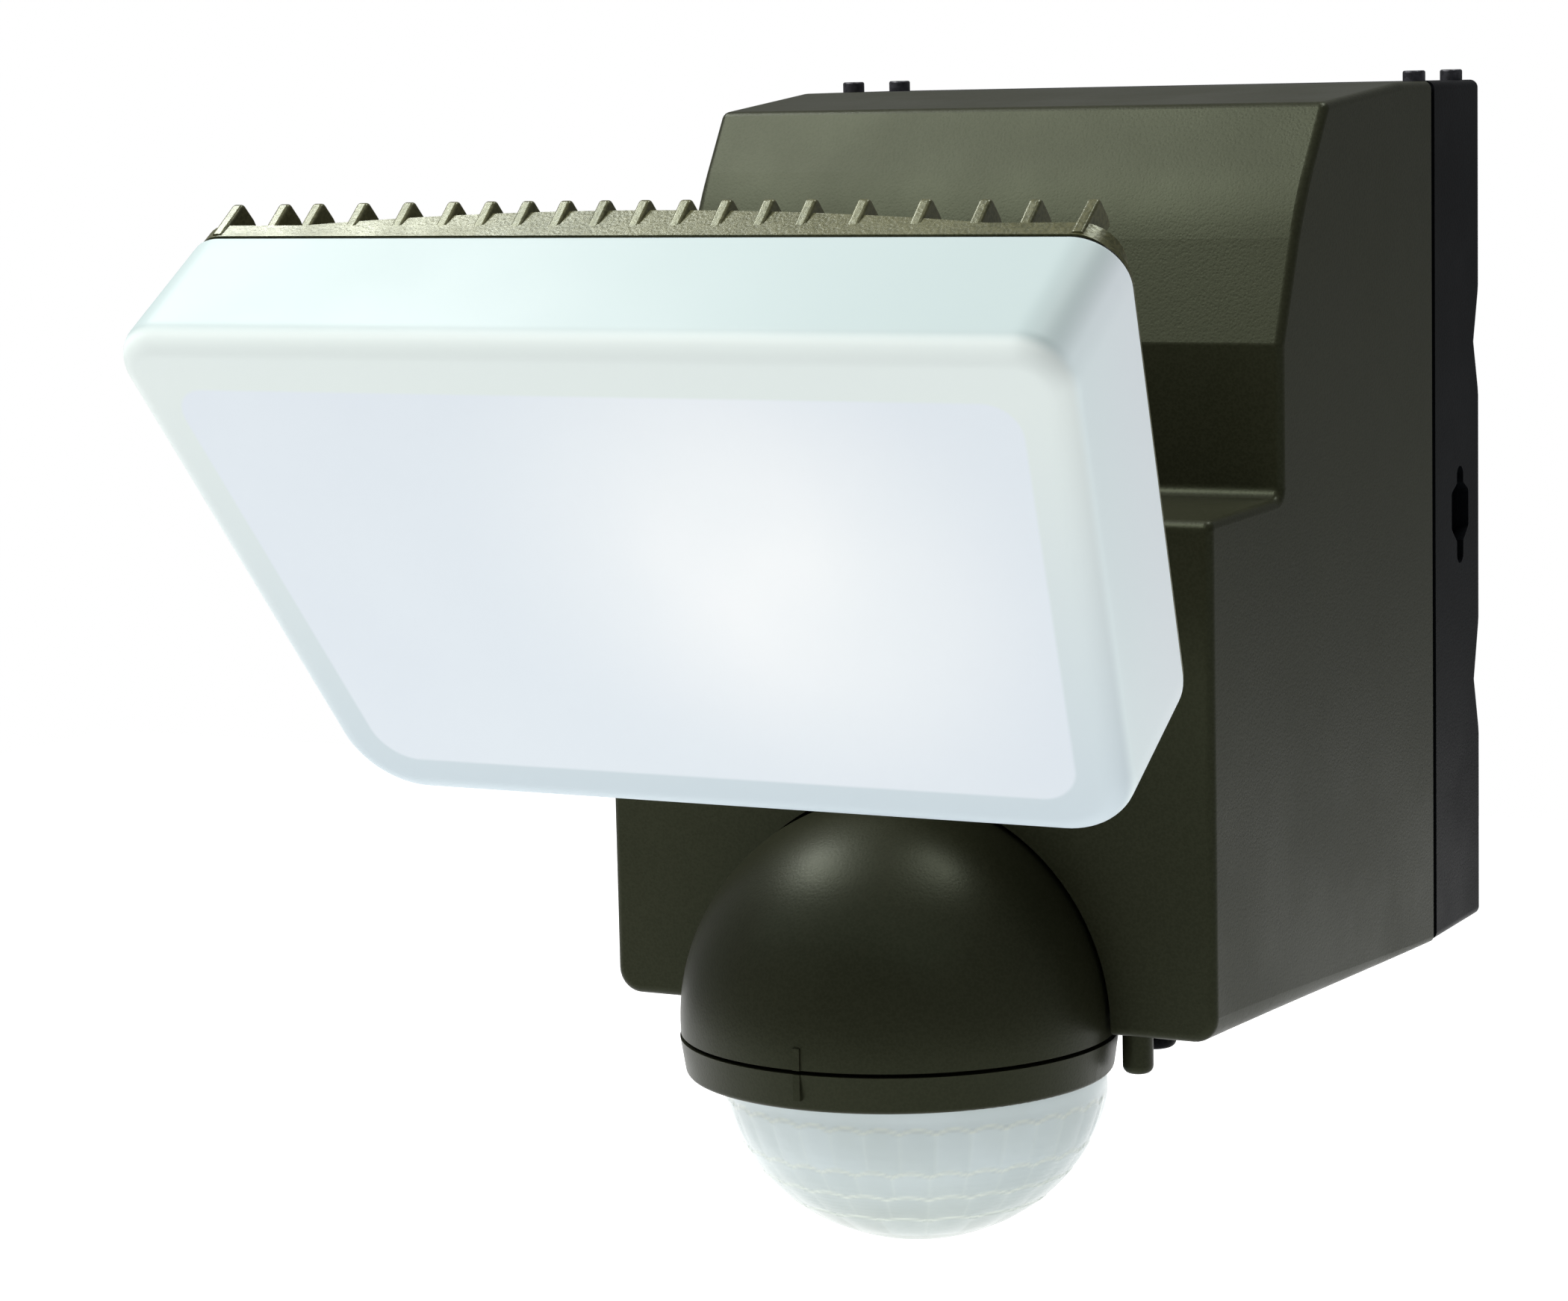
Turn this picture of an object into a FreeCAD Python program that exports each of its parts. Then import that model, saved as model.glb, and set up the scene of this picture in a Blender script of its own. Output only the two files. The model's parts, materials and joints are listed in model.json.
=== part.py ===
import FreeCAD, Part
import math
import os

V = FreeCAD.Vector

# A battery security light for a wall, in millimetres. The wall is the plane Y = 0, the
# light looks along -Y, +X is on its right as seen from the front and +Z is up.

# Front housing: the wide body that carries the lamp head and the sensor
HALF_WIDTH = 62.5          # at the seam with the back box
DRAFT = 0.0367             # each side closes by this much per millimetre forwards
TOP = 80.8
BOTTOM = -80.8
SEAM_Y = -27.2
FRONT_Y = -125.3
WALL = 2.5
SLOPE_Y = -40.9            # the top starts to fall here
CREST = (-75.2, 77.8)
BROW = (-86.5, 61.0)
RECESS_Y = -95.75          # back wall of the recess that the arm comes out of
RECESS_TOP = 36.6
SHELF_BACK = 9.95
SHELF_FRONT = 8.8
EDGE_ROUND = 1.5

# Back box, between the seam and the wall
BOX_HALF = 62.4
BOX_WALL = 2.2
BOX_BOTTOM = -80.0         # at the wall, from BOTTOM at the seam
BACK_FRONT = -8.4          # the two faces of the box's own back wall
BACK_REAR = -6.4
TONGUE_HALF = 59.55
TONGUE_TOP = 77.95
TONGUE_WALL = 1.8
TONGUE_END = -31.0
GROOVE_Y = (-30.0, -28.4)
GROOVE_DEPTH = 1.0
NOTCHES = ((46.1, 31.3, 17.1), (-16.9, -33.6, -48.5))
NOTCH_DEPTH = 4.0
SHADOW_GAP = (2.0, 0.9)    # width and depth of the groove along the seam
KEYHOLE = (-11.6, -0.6)    # centre of the double keyhole in each side
KEYHOLE_HALVES = (4.65, 1.75)          # its wide middle and its narrow ends
KEYHOLE_STEPS = (7.1, 5.6, 4.0, -2.9, -5.5, -7.95)     # heights of its ends and corners

# Fasteners of the body
STUD_X = 58.4
STUD_YS = (-25.1, -4.9)
STUD_R = (1.5, 2.1)        # stem and head
STUD_HEIGHT = 2.0
SCREW_XZ = (46.0, 74.4)
SCREW_TOWER_R = 3.2
TOWER_Y = (-46.0, -31.4)
BRACKET = 1.6
WALL_HOLE = (45.0, 60.0)
WALL_HOLE_R = 2.5
LOCK_X = 35.0
LOCK_Y = -3.7

# Batteries, in three columns of two
CELL_R = 17.1
CELL_LENGTH = 61.5
CELL_PITCH = 34.7
CELL_Y = BACK_FRONT - 2.6 - CELL_R
TRAY_HALF = 54.4
TRAY_TOP = 71.0
TRAY_WALL = 2.0
TRAY_FRONT = -42.0
SPRING_LENGTH = 5.25
CONTACT_IN = 1.75
CONTACT_OUT = 68.5
TRAY_SCREW_XZ = (CELL_PITCH / 2, 36.0)

# Control board, on posts of the tray
BOARD_Y = -60.4
BOARD_THICK = 1.6
BOARD_FACE = BOARD_Y - BOARD_THICK
BOARD_HALF = 56.5
POST_X = 53.5
POST_Z = 28.0

# Arm between the housing and the lamp head
ARM_Z = 24.0
PAN_Y = -112.0
TILT_Y = -171.0
KNUCKLE_R = 8.0
PIN_R = 2.5
RUN_GAP = 0.05             # running clearance of every pin, on the radius
EAR_Z = (7.6, 11.0)        # the pan ears, above and below the arm's middle
GASKET = 1.0
BASE_REAR = RECESS_Y - GASKET
BASE_FRONT = BASE_REAR - 4.5
BASE_SCREW_XZ = (12.5, 7.5)
LEAD_HOLE_R = 5.0
EAR_X = (11.3, 15.3)       # the tilt ears, on either side of the arm's knuckle

# Lamp head, drawn upright with its front plane at Y = 0 and the panel's top edge at
# Z = 0, then tilted and moved to its place
HEAD_TILT = 33.5
HEAD_ORIGIN = (0.0, -233.8, 37.0)
HEAD_TOP = 10.5
HEAD_BOTTOM = -86.5
HEAD_HALF_TOP = 84.9
HEAD_HALF_BOTTOM = 71.3
HEAD_DEPTH = 26.6
HEAD_ROUND = 4.2
TOP_CORNER = 8.0
LOW_CORNER = 14.0
SHELL = 2.5
RIM = (27.2, 30.1)
RIM_INSET = 2.0            # at the sides and below; the top is flush
RIM_FLANGE = 0.7
PLATE_BACK = 33.9          # the plate behind the rim bulges to here in the middle
PLATE_BEND = 508.0
FIN_BACK = 36.5
FIN_THICK = 2.0
FIN_ROUND = 0.5
FIN_INSET = 2.2            # least distance from a fin to the head's outline
FIN_XS = (-76.5, -67.3, -60.7, -52.0, -43.2, -34.8, -27.8, -20.9, -13.9, -6.8,
          0.4, 7.7, 14.9, 22.3, 29.6, 38.6, 49.0, 58.9, 67.1, 76.5)
PANEL_HALF_TOP = 75.0
PANEL_HALF_BOTTOM = 64.0
PANEL_BOTTOM = -78.1
LENS_POSTS = ((76.6, 2.6), (63.2, -78.2))
LED_PLATE_MIDDLE = -39.0
LED_PLATE_HOLE = (46.0, 22.0)
LED_PLATE = (RIM[0] - 1.6, RIM[0])

# Motion sensor: a ball under the housing, with the lens below it
BALL = (0.0, -128.0, -79.5)
BALL_R = 38.5
BALL_WALL = 2.2
POCKET_R = 39.5
POCKET_WALL = 2.0
HOOD_END = -81.6
RING_TOP = -82.3
RING_BOTTOM = -88.8
RING_R = (38.6, 37.6)
LENS_Y = -121.3
LENS_R = 34.8
LENS_DROP = 32.2
LENS_CUT = 36.4
LENS_WALL = 1.2
BOSSES = ((0.0, -161.0), (26.9, -147.1), (-26.9, -147.1))
HOLDER_Z = (RING_TOP, RING_TOP + 1.4)
STUD_ANGLE = 35.0
SENSOR_PAN = 50.0
SENSOR_TILT = (-8.0, 12.0)
POST = (41.3, -118.0, 2.7)  # x, y and radius of the post on either side of the ring

# Adjusting dials under the housing
DIAL = (39.5, -107.0)
DIAL_R = 4.0
DIAL_Z = (-86.3, -81.1)
DIAL_SHAFT = 1.5
DIAL_BOARD_Z = -72.6
DIAL_PEG_X = 9.0           # the board's two pegs, from the dial's axis
DIAL_PEG_YS = (-2.5, 5.5)


def box(x0, x1, y0, y1, z0, z1):
    return Part.makeBox(x1 - x0, y1 - y0, z1 - z0, V(x0, y0, z0))


def rod(radius, start, end):
    along = V(*end) - V(*start)
    return Part.makeCylinder(radius, along.Length, V(*start), along)


def tube(outer, inner, start, end):
    return rod(outer, start, end).cut(rod(inner, start, end))


def ball(radius):
    return Part.makeSphere(radius, V(*BALL))


def join(shapes):
    return shapes[0].fuse(shapes[1:]).removeSplitter()


def mirrored(shape):
    return shape.mirror(V(0, 0, 0), V(1, 0, 0))


def both(shape):
    return [shape, mirrored(shape)]


# The four places at plus and minus x, plus and minus z
def four(x, z):
    return [(sx * x, sz * z) for sx in (1, -1) for sz in (1, -1)]


# Corners are (a, b, radius). Each is cut by its tangent arc, and straight runs join them.
def rounded_wire(corners, place):
    starts, middles, ends = [], [], []
    for i, (a, b, radius) in enumerate(corners):
        here = V(a, b, 0)
        back = V(*corners[i - 1][:2], 0) - here
        ahead = V(*corners[(i + 1) % len(corners)][:2], 0) - here
        half = back.getAngle(ahead) / 2
        back.normalize()
        ahead.normalize()
        reach = radius / math.tan(half)
        starts.append(here + back * reach)
        ends.append(here + ahead * reach)
        inward = (back + ahead).normalize() if radius else V(0, 0, 0)
        middles.append(here + inward * (radius / math.sin(half) - radius))
    edges = []
    for i, corner in enumerate(corners):
        if corner[2]:
            arc = [place(p.x, p.y) for p in (starts[i], middles[i], ends[i])]
            edges.append(Part.Arc(*arc).toShape())
        following = starts[(i + 1) % len(corners)]
        if ends[i].distanceToPoint(following) > 1e-6:
            run = [place(p.x, p.y) for p in (ends[i], following)]
            edges.append(Part.LineSegment(*run).toShape())
    return Part.Wire(edges)


# The same outline, moved inwards. Outer corners lose the distance from their radius and
# inner corners gain it.
def inset(corners, distance):
    count = len(corners)
    area = sum(corners[i - 1][0] * corners[i][1] - corners[i][0] * corners[i - 1][1]
               for i in range(count))
    turn = 1 if area > 0 else -1
    moved = []
    for i, (a, b, radius) in enumerate(corners):
        here = V(a, b, 0)
        coming = (here - V(*corners[i - 1][:2], 0)).normalize()
        going = (V(*corners[(i + 1) % count][:2], 0) - here).normalize()
        first = V(-coming.y, coming.x, 0) * turn
        second = V(-going.y, going.x, 0) * turn
        shift = (first + second) * (distance / (1 + first.dot(second)))
        convex = (coming.x * going.y - coming.y * going.x) * turn > 0
        rounding = max(radius - distance, 0) if convex else radius + distance
        moved.append((a + shift.x, b + shift.y, rounding))
    return moved


def side_plate(corners, x0, x1):
    wire = rounded_wire(corners, lambda a, b: V(x0, a, b))
    return Part.Face(wire).extrude(V(x1 - x0, 0, 0))


def front_plate(corners, y0, y1):
    wire = rounded_wire(corners, lambda a, b: V(a, y0, b))
    return Part.Face(wire).extrude(V(0, y1 - y0, 0))


def floor_plate(corners, z0, z1):
    wire = rounded_wire(corners, lambda a, b: V(a, b, z0))
    return Part.Face(wire).extrude(V(0, 0, z1 - z0))


def rectangle(a0, a1, b0, b1, radius):
    return [(a0, b0, radius), (a1, b0, radius), (a1, b1, radius), (a0, b1, radius)]


# Pan-head screw: the head sits on the seat point and the shank goes along the axis
def screw(seat, axis, shank_r, shank_length, head_r, head_height):
    seat = V(*seat)
    axis = V(*axis).normalize()
    shank = Part.makeCylinder(shank_r, shank_length, seat, axis)
    head = Part.makeCylinder(head_r, head_height, seat - axis * head_height, axis)
    crown = [e for e in head.Edges if e.BoundBox.Center.distanceToPoint(
        seat - axis * head_height) < 1e-6 and e.Length > 3 * head_r]
    head = head.makeFillet(head_height * 0.4, crown)
    slot = Part.makeBox(head_r * 2.2, 0.5, head_height * 0.5, V(-head_r * 1.1, -0.25, 0))
    slot.Placement = FreeCAD.Placement(seat - axis * head_height,
                                       FreeCAD.Rotation(V(0, 0, 1), axis))
    return shank.fuse(head.cut(slot)).removeSplitter()


def housing_profile():
    return [(SEAM_Y + 7, TOP, 0), (SLOPE_Y, TOP, 12), (*CREST, 2.0), (*BROW, 60),
            (RECESS_Y, RECESS_TOP, 1.5), (RECESS_Y, SHELF_BACK, 2.2),
            (FRONT_Y, SHELF_FRONT, 1.8), (FRONT_Y, BOTTOM, 0), (SEAM_Y + 7, BOTTOM, 0)]


def half_width(y):
    return HALF_WIDTH - DRAFT * (SEAM_Y - y)


def housing_plan():
    rear, front = SEAM_Y + 7, FRONT_Y - 5
    return [(half_width(rear), rear, 0), (-half_width(rear), rear, 0),
            (-half_width(front), front, 0), (half_width(front), front, 0)]


def on_side(edge):
    points = [edge.valueAt(edge.FirstParameter + (edge.LastParameter - edge.FirstParameter) * t)
              for t in (0.0, 0.5, 1.0)]
    return all(abs(abs(p.x) - half_width(p.y)) < 1e-3 for p in points)


def housing_block():
    block = side_plate(housing_profile(), -70, 70).common(floor_plate(housing_plan(), -85, 85))
    low = [e for e in block.Edges if on_side(e) and e.BoundBox.ZMax < BOTTOM + 0.01]
    for edge in low:
        near_first = edge.valueAt(edge.FirstParameter).y > edge.valueAt(edge.LastParameter).y
        radii = (1.0, 4.5) if near_first else (4.5, 1.0)
        match = [e for e in block.Edges
                 if e.BoundBox.Center.distanceToPoint(edge.BoundBox.Center) < 1e-3]
        block = block.makeFillet(*radii, match)
    ring = [e for e in block.Edges
            if e.BoundBox.YMin < SEAM_Y + 6
            and (on_side(e) and e.BoundBox.ZMin > BOTTOM + 0.5
                 or e.BoundBox.YMax < FRONT_Y + 0.01 and e.BoundBox.ZMax < 0)]
    return block.makeFillet(EDGE_ROUND, ring)


# The sensor's arm passes the pocket wall and the hood in slots: a flat tool across the
# stud's axis, swept about the given axis through the ball's centre
def stud_slot(inner, outer, half, across, axis, first, last):
    along = V(0, math.cos(math.radians(STUD_ANGLE)), math.sin(math.radians(STUD_ANGLE)))
    centre = V(*BALL)
    corners = [centre + along * r + across * s
               for r, s in ((inner, -half), (outer, -half), (outer, half), (inner, half))]
    face = Part.Face(Part.makePolygon(corners + corners[:1]))
    face.rotate(centre, axis, first)
    swept = face.revolve(centre, axis, last - first)
    ends = []
    for angle in (first, last):
        cylinder = rod(half, tuple(centre + along * inner), tuple(centre + along * outer))
        cylinder.rotate(centre, axis, angle)
        ends.append(cylinder)
    return join([swept] + ends)


def dial_pegs():
    x, y = DIAL
    return [(x + DIAL_PEG_X, y + step) for step in DIAL_PEG_YS]


def stud_upward():
    angle = math.radians(STUD_ANGLE)
    return V(0, -math.sin(angle), math.cos(angle))


def housing():
    block = housing_block()
    hollow = side_plate(inset(housing_profile(), WALL), -70, 70)
    hollow = hollow.common(floor_plate(inset(housing_plan(), WALL), -85, 85))
    shell = block.cut(hollow)
    bowl = block.common(ball(POCKET_R + POCKET_WALL))
    x, z = SCREW_XZ
    front, rear = TOWER_Y
    towers = [rod(SCREW_TOWER_R, (px, rear, pz), (px, front, pz)) for px, pz in four(x, z)]
    for px, pz in four(x, z):
        low, high = sorted((pz, math.copysign(TOP - WALL + 0.5, pz)))
        towers.append(box(px - SCREW_TOWER_R, px + SCREW_TOWER_R, front, rear, low, high))
    dial_x, dial_y = DIAL
    pegs = [rod(2.4, (px, py, BOTTOM + 1), (px, py, DIAL_BOARD_Z)) for px, py in dial_pegs()]
    post_x, post_y, post_r = POST
    post = rod(post_r, (post_x, post_y, RING_BOTTOM + 0.2), (post_x, post_y, BOTTOM + 1))
    foot = [e for e in post.Edges if e.BoundBox.ZMax < RING_BOTTOM + 0.3 and e.Length > post_r * 4]
    post = post.makeFillet(1.4, foot)
    extras = towers + pegs + [mirrored(p) for p in pegs] + both(post)
    body = join([shell, bowl] + extras)
    cuts = [ball(POCKET_R), box(-80, 80, SEAM_Y, 0, -90, 90)]
    cuts += [rod(1.3, (px, rear + 1, pz), (px, front + 2, pz)) for px, pz in four(x, z)]
    cuts.append(rod(LEAD_HOLE_R, (0, RECESS_Y - 1, ARM_Z), (0, RECESS_Y + 4, ARM_Z)))
    cuts += [rod(1.6, (px, RECESS_Y - 1, ARM_Z + pz), (px, RECESS_Y + 4, ARM_Z + pz))
             for px, pz in four(*BASE_SCREW_XZ)]
    shaft = rod(DIAL_SHAFT + RUN_GAP, (dial_x, dial_y, BOTTOM - 1), (dial_x, dial_y, BOTTOM + 4))
    cuts += both(shaft)
    for px, py in dial_pegs():
        cuts += both(rod(0.9, (px, py, DIAL_BOARD_Z - 5.6), (px, py, DIAL_BOARD_Z + 1)))
    cuts.append(stud_slot(POCKET_R - 2, POCKET_R + POCKET_WALL + 2, 4.4, stud_upward(),
                          V(0, 0, 1), -SENSOR_PAN - 1, SENSOR_PAN + 1))
    return body.cut(cuts)


def box_block():
    profile = [(SEAM_Y, TOP, 0), (0, TOP, 0), (0, BOX_BOTTOM, 0), (SEAM_Y, BOTTOM, 0)]
    block = side_plate(profile, -BOX_HALF, BOX_HALF)
    outer = [e for e in block.Edges if e.BoundBox.YMax > -0.01]
    block = block.makeFillet(1.5, outer)
    width, depth = SHADOW_GAP
    gap = box(-70, 70, SEAM_Y - 1, SEAM_Y + width, -90, 90)
    front = box(-BOX_HALF + depth, BOX_HALF - depth, SEAM_Y - 2, SEAM_Y + width + 1,
                BOTTOM + depth, TOP - depth)
    return block.cut(gap.cut(front))


# A narrow slot with round ends, and a wide middle whose corners are cut off
def keyhole_shape(x0, x1):
    y, z = KEYHOLE
    wide, slim = KEYHOLE_HALVES
    top, upper, high, low, lower, end = (z + step for step in KEYHOLE_STEPS)
    middle = side_plate([(y - slim, upper, 0), (y + slim, upper, 0), (y + wide, high, 1),
                         (y + wide, low, 1), (y + slim, lower, 0), (y - slim, lower, 0),
                         (y - wide, low, 1), (y - wide, high, 1)], x0, x1)
    slot = box(x0, x1, y - slim, y + slim, end, top)
    tips = [rod(slim, (x0, y, tip), (x1, y, tip)) for tip in (top, end)]
    return join([middle, slot] + tips)


def back_box():
    inner = BOX_HALF - BOX_WALL
    shell = box_block()
    shell = shell.cut(box(-inner, inner, SEAM_Y - 1, BACK_FRONT, BOTTOM + 2.4, TOP - 2.2))
    shell = shell.cut(box(-inner, inner, BACK_REAR, 1, BOX_BOTTOM + 2.2, TOP - 2.2))
    tongue = front_plate(rectangle(-TONGUE_HALF, TONGUE_HALF, -TONGUE_TOP, TONGUE_TOP, 1.2),
                         TONGUE_END, SEAM_Y)
    ledge = box(-inner, inner, SEAM_Y, SEAM_Y + 3, BOTTOM + 2.4, TOP - 2.2)
    collar = tongue.fuse(ledge)
    groove = front_plate(rectangle(-70, 70, -90, 90, 0), *GROOVE_Y)
    depth_half, depth_top = TONGUE_HALF - GROOVE_DEPTH, TONGUE_TOP - GROOVE_DEPTH
    groove = groove.cut(front_plate(rectangle(-depth_half, depth_half, -depth_top, depth_top, 1.0),
                                    -40, -20))
    mouth_half, mouth_top = TONGUE_HALF - TONGUE_WALL, TONGUE_TOP - TONGUE_WALL
    mouth = front_plate(rectangle(-mouth_half, mouth_half, -mouth_top, mouth_top, 1.0), -40, -20)
    x, z = SCREW_XZ
    towers = [rod(SCREW_TOWER_R, (px, TONGUE_END, pz), (px, BACK_REAR, pz)) for px, pz in four(x, z)]
    corners = []
    for y0, y1 in ((SEAM_Y, -22.0), (BACK_FRONT, -1.5)):
        corners += both(box(STUD_X - 3.0, inner + 0.5, y0, y1, 70, TOP - 1))
    bosses = [rod(3.5, (px, BACK_FRONT + 1, pz), (px, BACK_REAR + 2.4, pz))
              for px, pz in four(*TRAY_SCREW_XZ)]
    pads = [box(sx * 30 - 8, sx * 30 + 8, -3.9, -1.9, 76.8, TOP - 1) for sx in (1, -1)]
    y, z0 = KEYHOLE
    cup = box(54.9, inner + 0.5, y - 7.6, BACK_REAR, z0 - 11.9, z0 + 11.4)
    body = join([shell, collar.cut(mouth)] + towers + corners + bosses + pads + both(cup))
    cuts = [groove] + [rod(1.7, (px, TONGUE_END - 1, pz), (px, 0, pz)) for px, pz in four(x, z)]
    cuts += [rod(3.3, (px, BACK_REAR - 4, pz), (px, BACK_REAR + 1, pz)) for px, pz in four(x, z)]
    cuts += [rod(1.25, (px, BACK_FRONT - 1, pz), (px, BACK_REAR + 1.6, pz))
             for px, pz in four(*TRAY_SCREW_XZ)]
    for sy in STUD_YS:
        cuts += both(rod(STUD_R[0], (STUD_X, sy, 71.5), (STUD_X, sy, TOP + 1)))
    for top, apex, low in NOTCHES:
        slope = (top - apex) / NOTCH_DEPTH
        wedge = [(1, top + slope, 0), (-NOTCH_DEPTH, apex, 0), (1, low - (apex - low) / NOTCH_DEPTH, 0)]
        cuts += both(side_plate(wedge, 50, 70))
    cuts += both(box(56.5, inner + 0.01, y - 6.0, BACK_FRONT + 1.2, z0 - 10.4, z0 + 9.9))
    cuts += both(keyhole_shape(inner - 0.05, 64))
    cuts += both(rod(1.6, (LOCK_X, LOCK_Y, -85), (LOCK_X, LOCK_Y, -75)))
    cuts += both(rod(2.9, (LOCK_X, LOCK_Y, -85), (LOCK_X, LOCK_Y, BOX_BOTTOM + 0.8)))
    return body.cut(cuts)


def seam_gasket():
    outer_half, outer_top = TONGUE_HALF + 0.3, TONGUE_TOP + 0.35
    inner_half, inner_top = TONGUE_HALF - GROOVE_DEPTH, TONGUE_TOP - GROOVE_DEPTH
    outer = front_plate(rectangle(-outer_half, outer_half, -outer_top, outer_top, 1.4), *GROOVE_Y)
    return outer.cut(front_plate(rectangle(-inner_half, inner_half, -inner_top, inner_top, 1.0),
                                 -40, -20))


def wall_bracket():
    plate = front_plate(rectangle(-55, 55, -77.4, 76.8, 3), -BRACKET, 0)
    hooks = []
    for sx in (1, -1):
        hooks.append(box(sx * 30 - 10, sx * 30 + 10, -5.8, -0.5, 75.2, 76.8))
        hooks.append(box(sx * 30 - 10, sx * 30 + 10, -5.8, -4.2, 75.2, 78.2))
    flange = box(-46, 46, -6.0, -0.5, -77.4, -75.8)
    plate = join([plate] + hooks + [flange])
    cuts = [rod(WALL_HOLE_R, (px, -3, pz), (px, 1, pz)) for px, pz in four(*WALL_HOLE)]
    cuts += [rod(4.2, (px, -3, pz), (px, 1, pz)) for px, pz in four(*SCREW_XZ)]
    cuts += both(rod(1.3, (LOCK_X, LOCK_Y, -80), (LOCK_X, LOCK_Y, -70)))
    return plate.cut(cuts)


def top_studs():
    studs = []
    for sy in STUD_YS:
        stem = rod(STUD_R[0], (STUD_X, sy, 72), (STUD_X, sy, TOP))
        head = rod(STUD_R[1], (STUD_X, sy, TOP), (STUD_X, sy, TOP + STUD_HEIGHT))
        crown = [e for e in head.Edges if e.BoundBox.ZMin > TOP + 1 and e.Length > 5]
        studs += both(stem.fuse(head.makeFillet(0.4, crown)).removeSplitter())
    return studs


def housing_screws():
    x, z = SCREW_XZ
    return [screw((px, BACK_REAR - 4, pz), (0, -1, 0), 1.25, 32, 2.9, 2.2) for px, pz in four(x, z)]


def lock_screws():
    return both(screw((LOCK_X, LOCK_Y, BOX_BOTTOM + 0.8), (0, 0, 1), 1.25, 7.0, 2.7, 1.6))


def cell_places():
    places = []
    for column in (-1, 0, 1):
        for row in (1, -1):
            places.append((column * CELL_PITCH, row, (column + row) % 2 == 0))
    return places


def battery_tray():
    base = box(-TRAY_HALF, TRAY_HALF, BACK_FRONT - TRAY_WALL, BACK_FRONT, -TRAY_TOP, TRAY_TOP)
    sides = both(box(TRAY_HALF - TRAY_WALL, TRAY_HALF, TRAY_FRONT, BACK_FRONT, -TRAY_TOP, TRAY_TOP))
    ends = [box(-TRAY_HALF, TRAY_HALF, TRAY_FRONT, BACK_FRONT, z0, z0 + TRAY_WALL)
            for z0 in (-TRAY_TOP, TRAY_TOP - TRAY_WALL)]
    middle = box(-TRAY_HALF, TRAY_HALF, TRAY_FRONT, BACK_FRONT, -1.25, 1.25)
    cradles = [box(-TRAY_HALF, TRAY_HALF, BACK_FRONT - 11, BACK_FRONT, z0 - 1.25, z0 + 1.25)
               for z0 in (-52, -20, 20, 52)]
    posts = [rod(2.6, (px, TRAY_FRONT + 6, pz), (px, BOARD_Y, pz)) for px, pz in four(POST_X, POST_Z)]
    body = join([base] + sides + ends + [middle] + cradles + posts)
    cuts = [rod(CELL_R + 0.3, (x, CELL_Y, row * CONTACT_IN), (x, CELL_Y, row * 69))
            for x, row, _ in cell_places()]
    cuts += [rod(1.3, (px, BACK_FRONT - 4, pz), (px, BACK_FRONT + 1, pz))
             for px, pz in four(*TRAY_SCREW_XZ)]
    cuts += [rod(0.95, (px, BOARD_Y - 1, pz), (px, BOARD_Y + 7, pz)) for px, pz in four(POST_X, POST_Z)]
    x, z = SCREW_XZ
    cuts += [rod(3.5, (px, TRAY_FRONT - 1, pz), (px, 0, pz)) for px, pz in four(x, z)]
    y, z0 = KEYHOLE
    cuts += both(box(54.6, 60, y - 8, 0, z0 - 12, z0 + 12))
    return body.cut(cuts)


def battery_cells():
    cells = []
    for x, row, button_out in cell_places():
        flat = CONTACT_IN + SPRING_LENGTH if button_out else CONTACT_OUT - SPRING_LENGTH
        way = 1 if button_out else -1
        start, shoulder, tip = (row * (flat + way * step) for step in (0, CELL_LENGTH - 1.5, CELL_LENGTH))
        can = rod(CELL_R, (x, CELL_Y, start), (x, CELL_Y, shoulder))
        rims = [e for e in can.Edges if e.Length > 60 and e.BoundBox.ZLength < 0.01]
        can = can.makeFillet(0.8, rims)
        cells.append(can.fuse(rod(4.75, (x, CELL_Y, shoulder), (x, CELL_Y, tip))).removeSplitter())
    return cells


def contact_plates():
    plates = []
    for x, row, _ in cell_places():
        for z in (CONTACT_IN - 0.5, CONTACT_OUT):
            low, high = sorted((row * z, row * (z + 0.5)))
            plates.append(box(x - 8, x + 8, CELL_Y - 8, CELL_Y + 8, low, high))
    return plates


def contact_springs():
    springs = []
    for x, row, button_out in cell_places():
        z = CONTACT_IN if button_out else CONTACT_OUT - SPRING_LENGTH
        springs.append(tube(6.0, 5.1, (x, CELL_Y, row * z), (x, CELL_Y, row * (z + SPRING_LENGTH))))
    return springs


def tray_screws():
    seat_y = BACK_FRONT - TRAY_WALL
    return [screw((px, seat_y, pz), (0, 1, 0), 1.25, 5.2, 2.6, 1.6) for px, pz in four(*TRAY_SCREW_XZ)]


def control_board():
    board = front_plate(rectangle(-BOARD_HALF, BOARD_HALF, -34, 34, 2), BOARD_Y - BOARD_THICK, BOARD_Y)
    return board.cut([rod(1.2, (px, BOARD_Y - 3, pz), (px, BOARD_Y + 1, pz))
                      for px, pz in four(POST_X, POST_Z)])


def board_screws():
    seat_y = BOARD_Y - BOARD_THICK
    return [screw((px, seat_y, pz), (0, 1, 0), 0.95, 7, 2.2, 1.4) for px, pz in four(POST_X, POST_Z)]


def capacitors():
    return [rod(5.0, (x, BOARD_FACE, 20), (x, BOARD_FACE - 16, 20)) for x in (-34, -20)]


def power_coil():
    core = box(14, 27, BOARD_FACE - 3, BOARD_FACE, 12, 25)
    drum = rod(5.6, (20.5, BOARD_FACE - 3, 18.5), (20.5, BOARD_FACE - 8, 18.5))
    return join([core, drum])


def controller_chip():
    return box(-7, 7, BOARD_FACE - 1.6, BOARD_FACE, -5, 9)


def lead_sockets():
    return [box(x - 5, x + 5, BOARD_FACE - 7, BOARD_FACE, -28, -22) for x in (-30, 0, 30)]


def dial_boards():
    x, y = DIAL
    board = floor_plate(rectangle(x - 1.5, x + 13, y - 5, y + 8, 1),
                        DIAL_BOARD_Z, DIAL_BOARD_Z + BOARD_THICK)
    board = board.cut([rod(1.1, (px, py, -80), (px, py, -60)) for px, py in dial_pegs()])
    return both(board)


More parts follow.
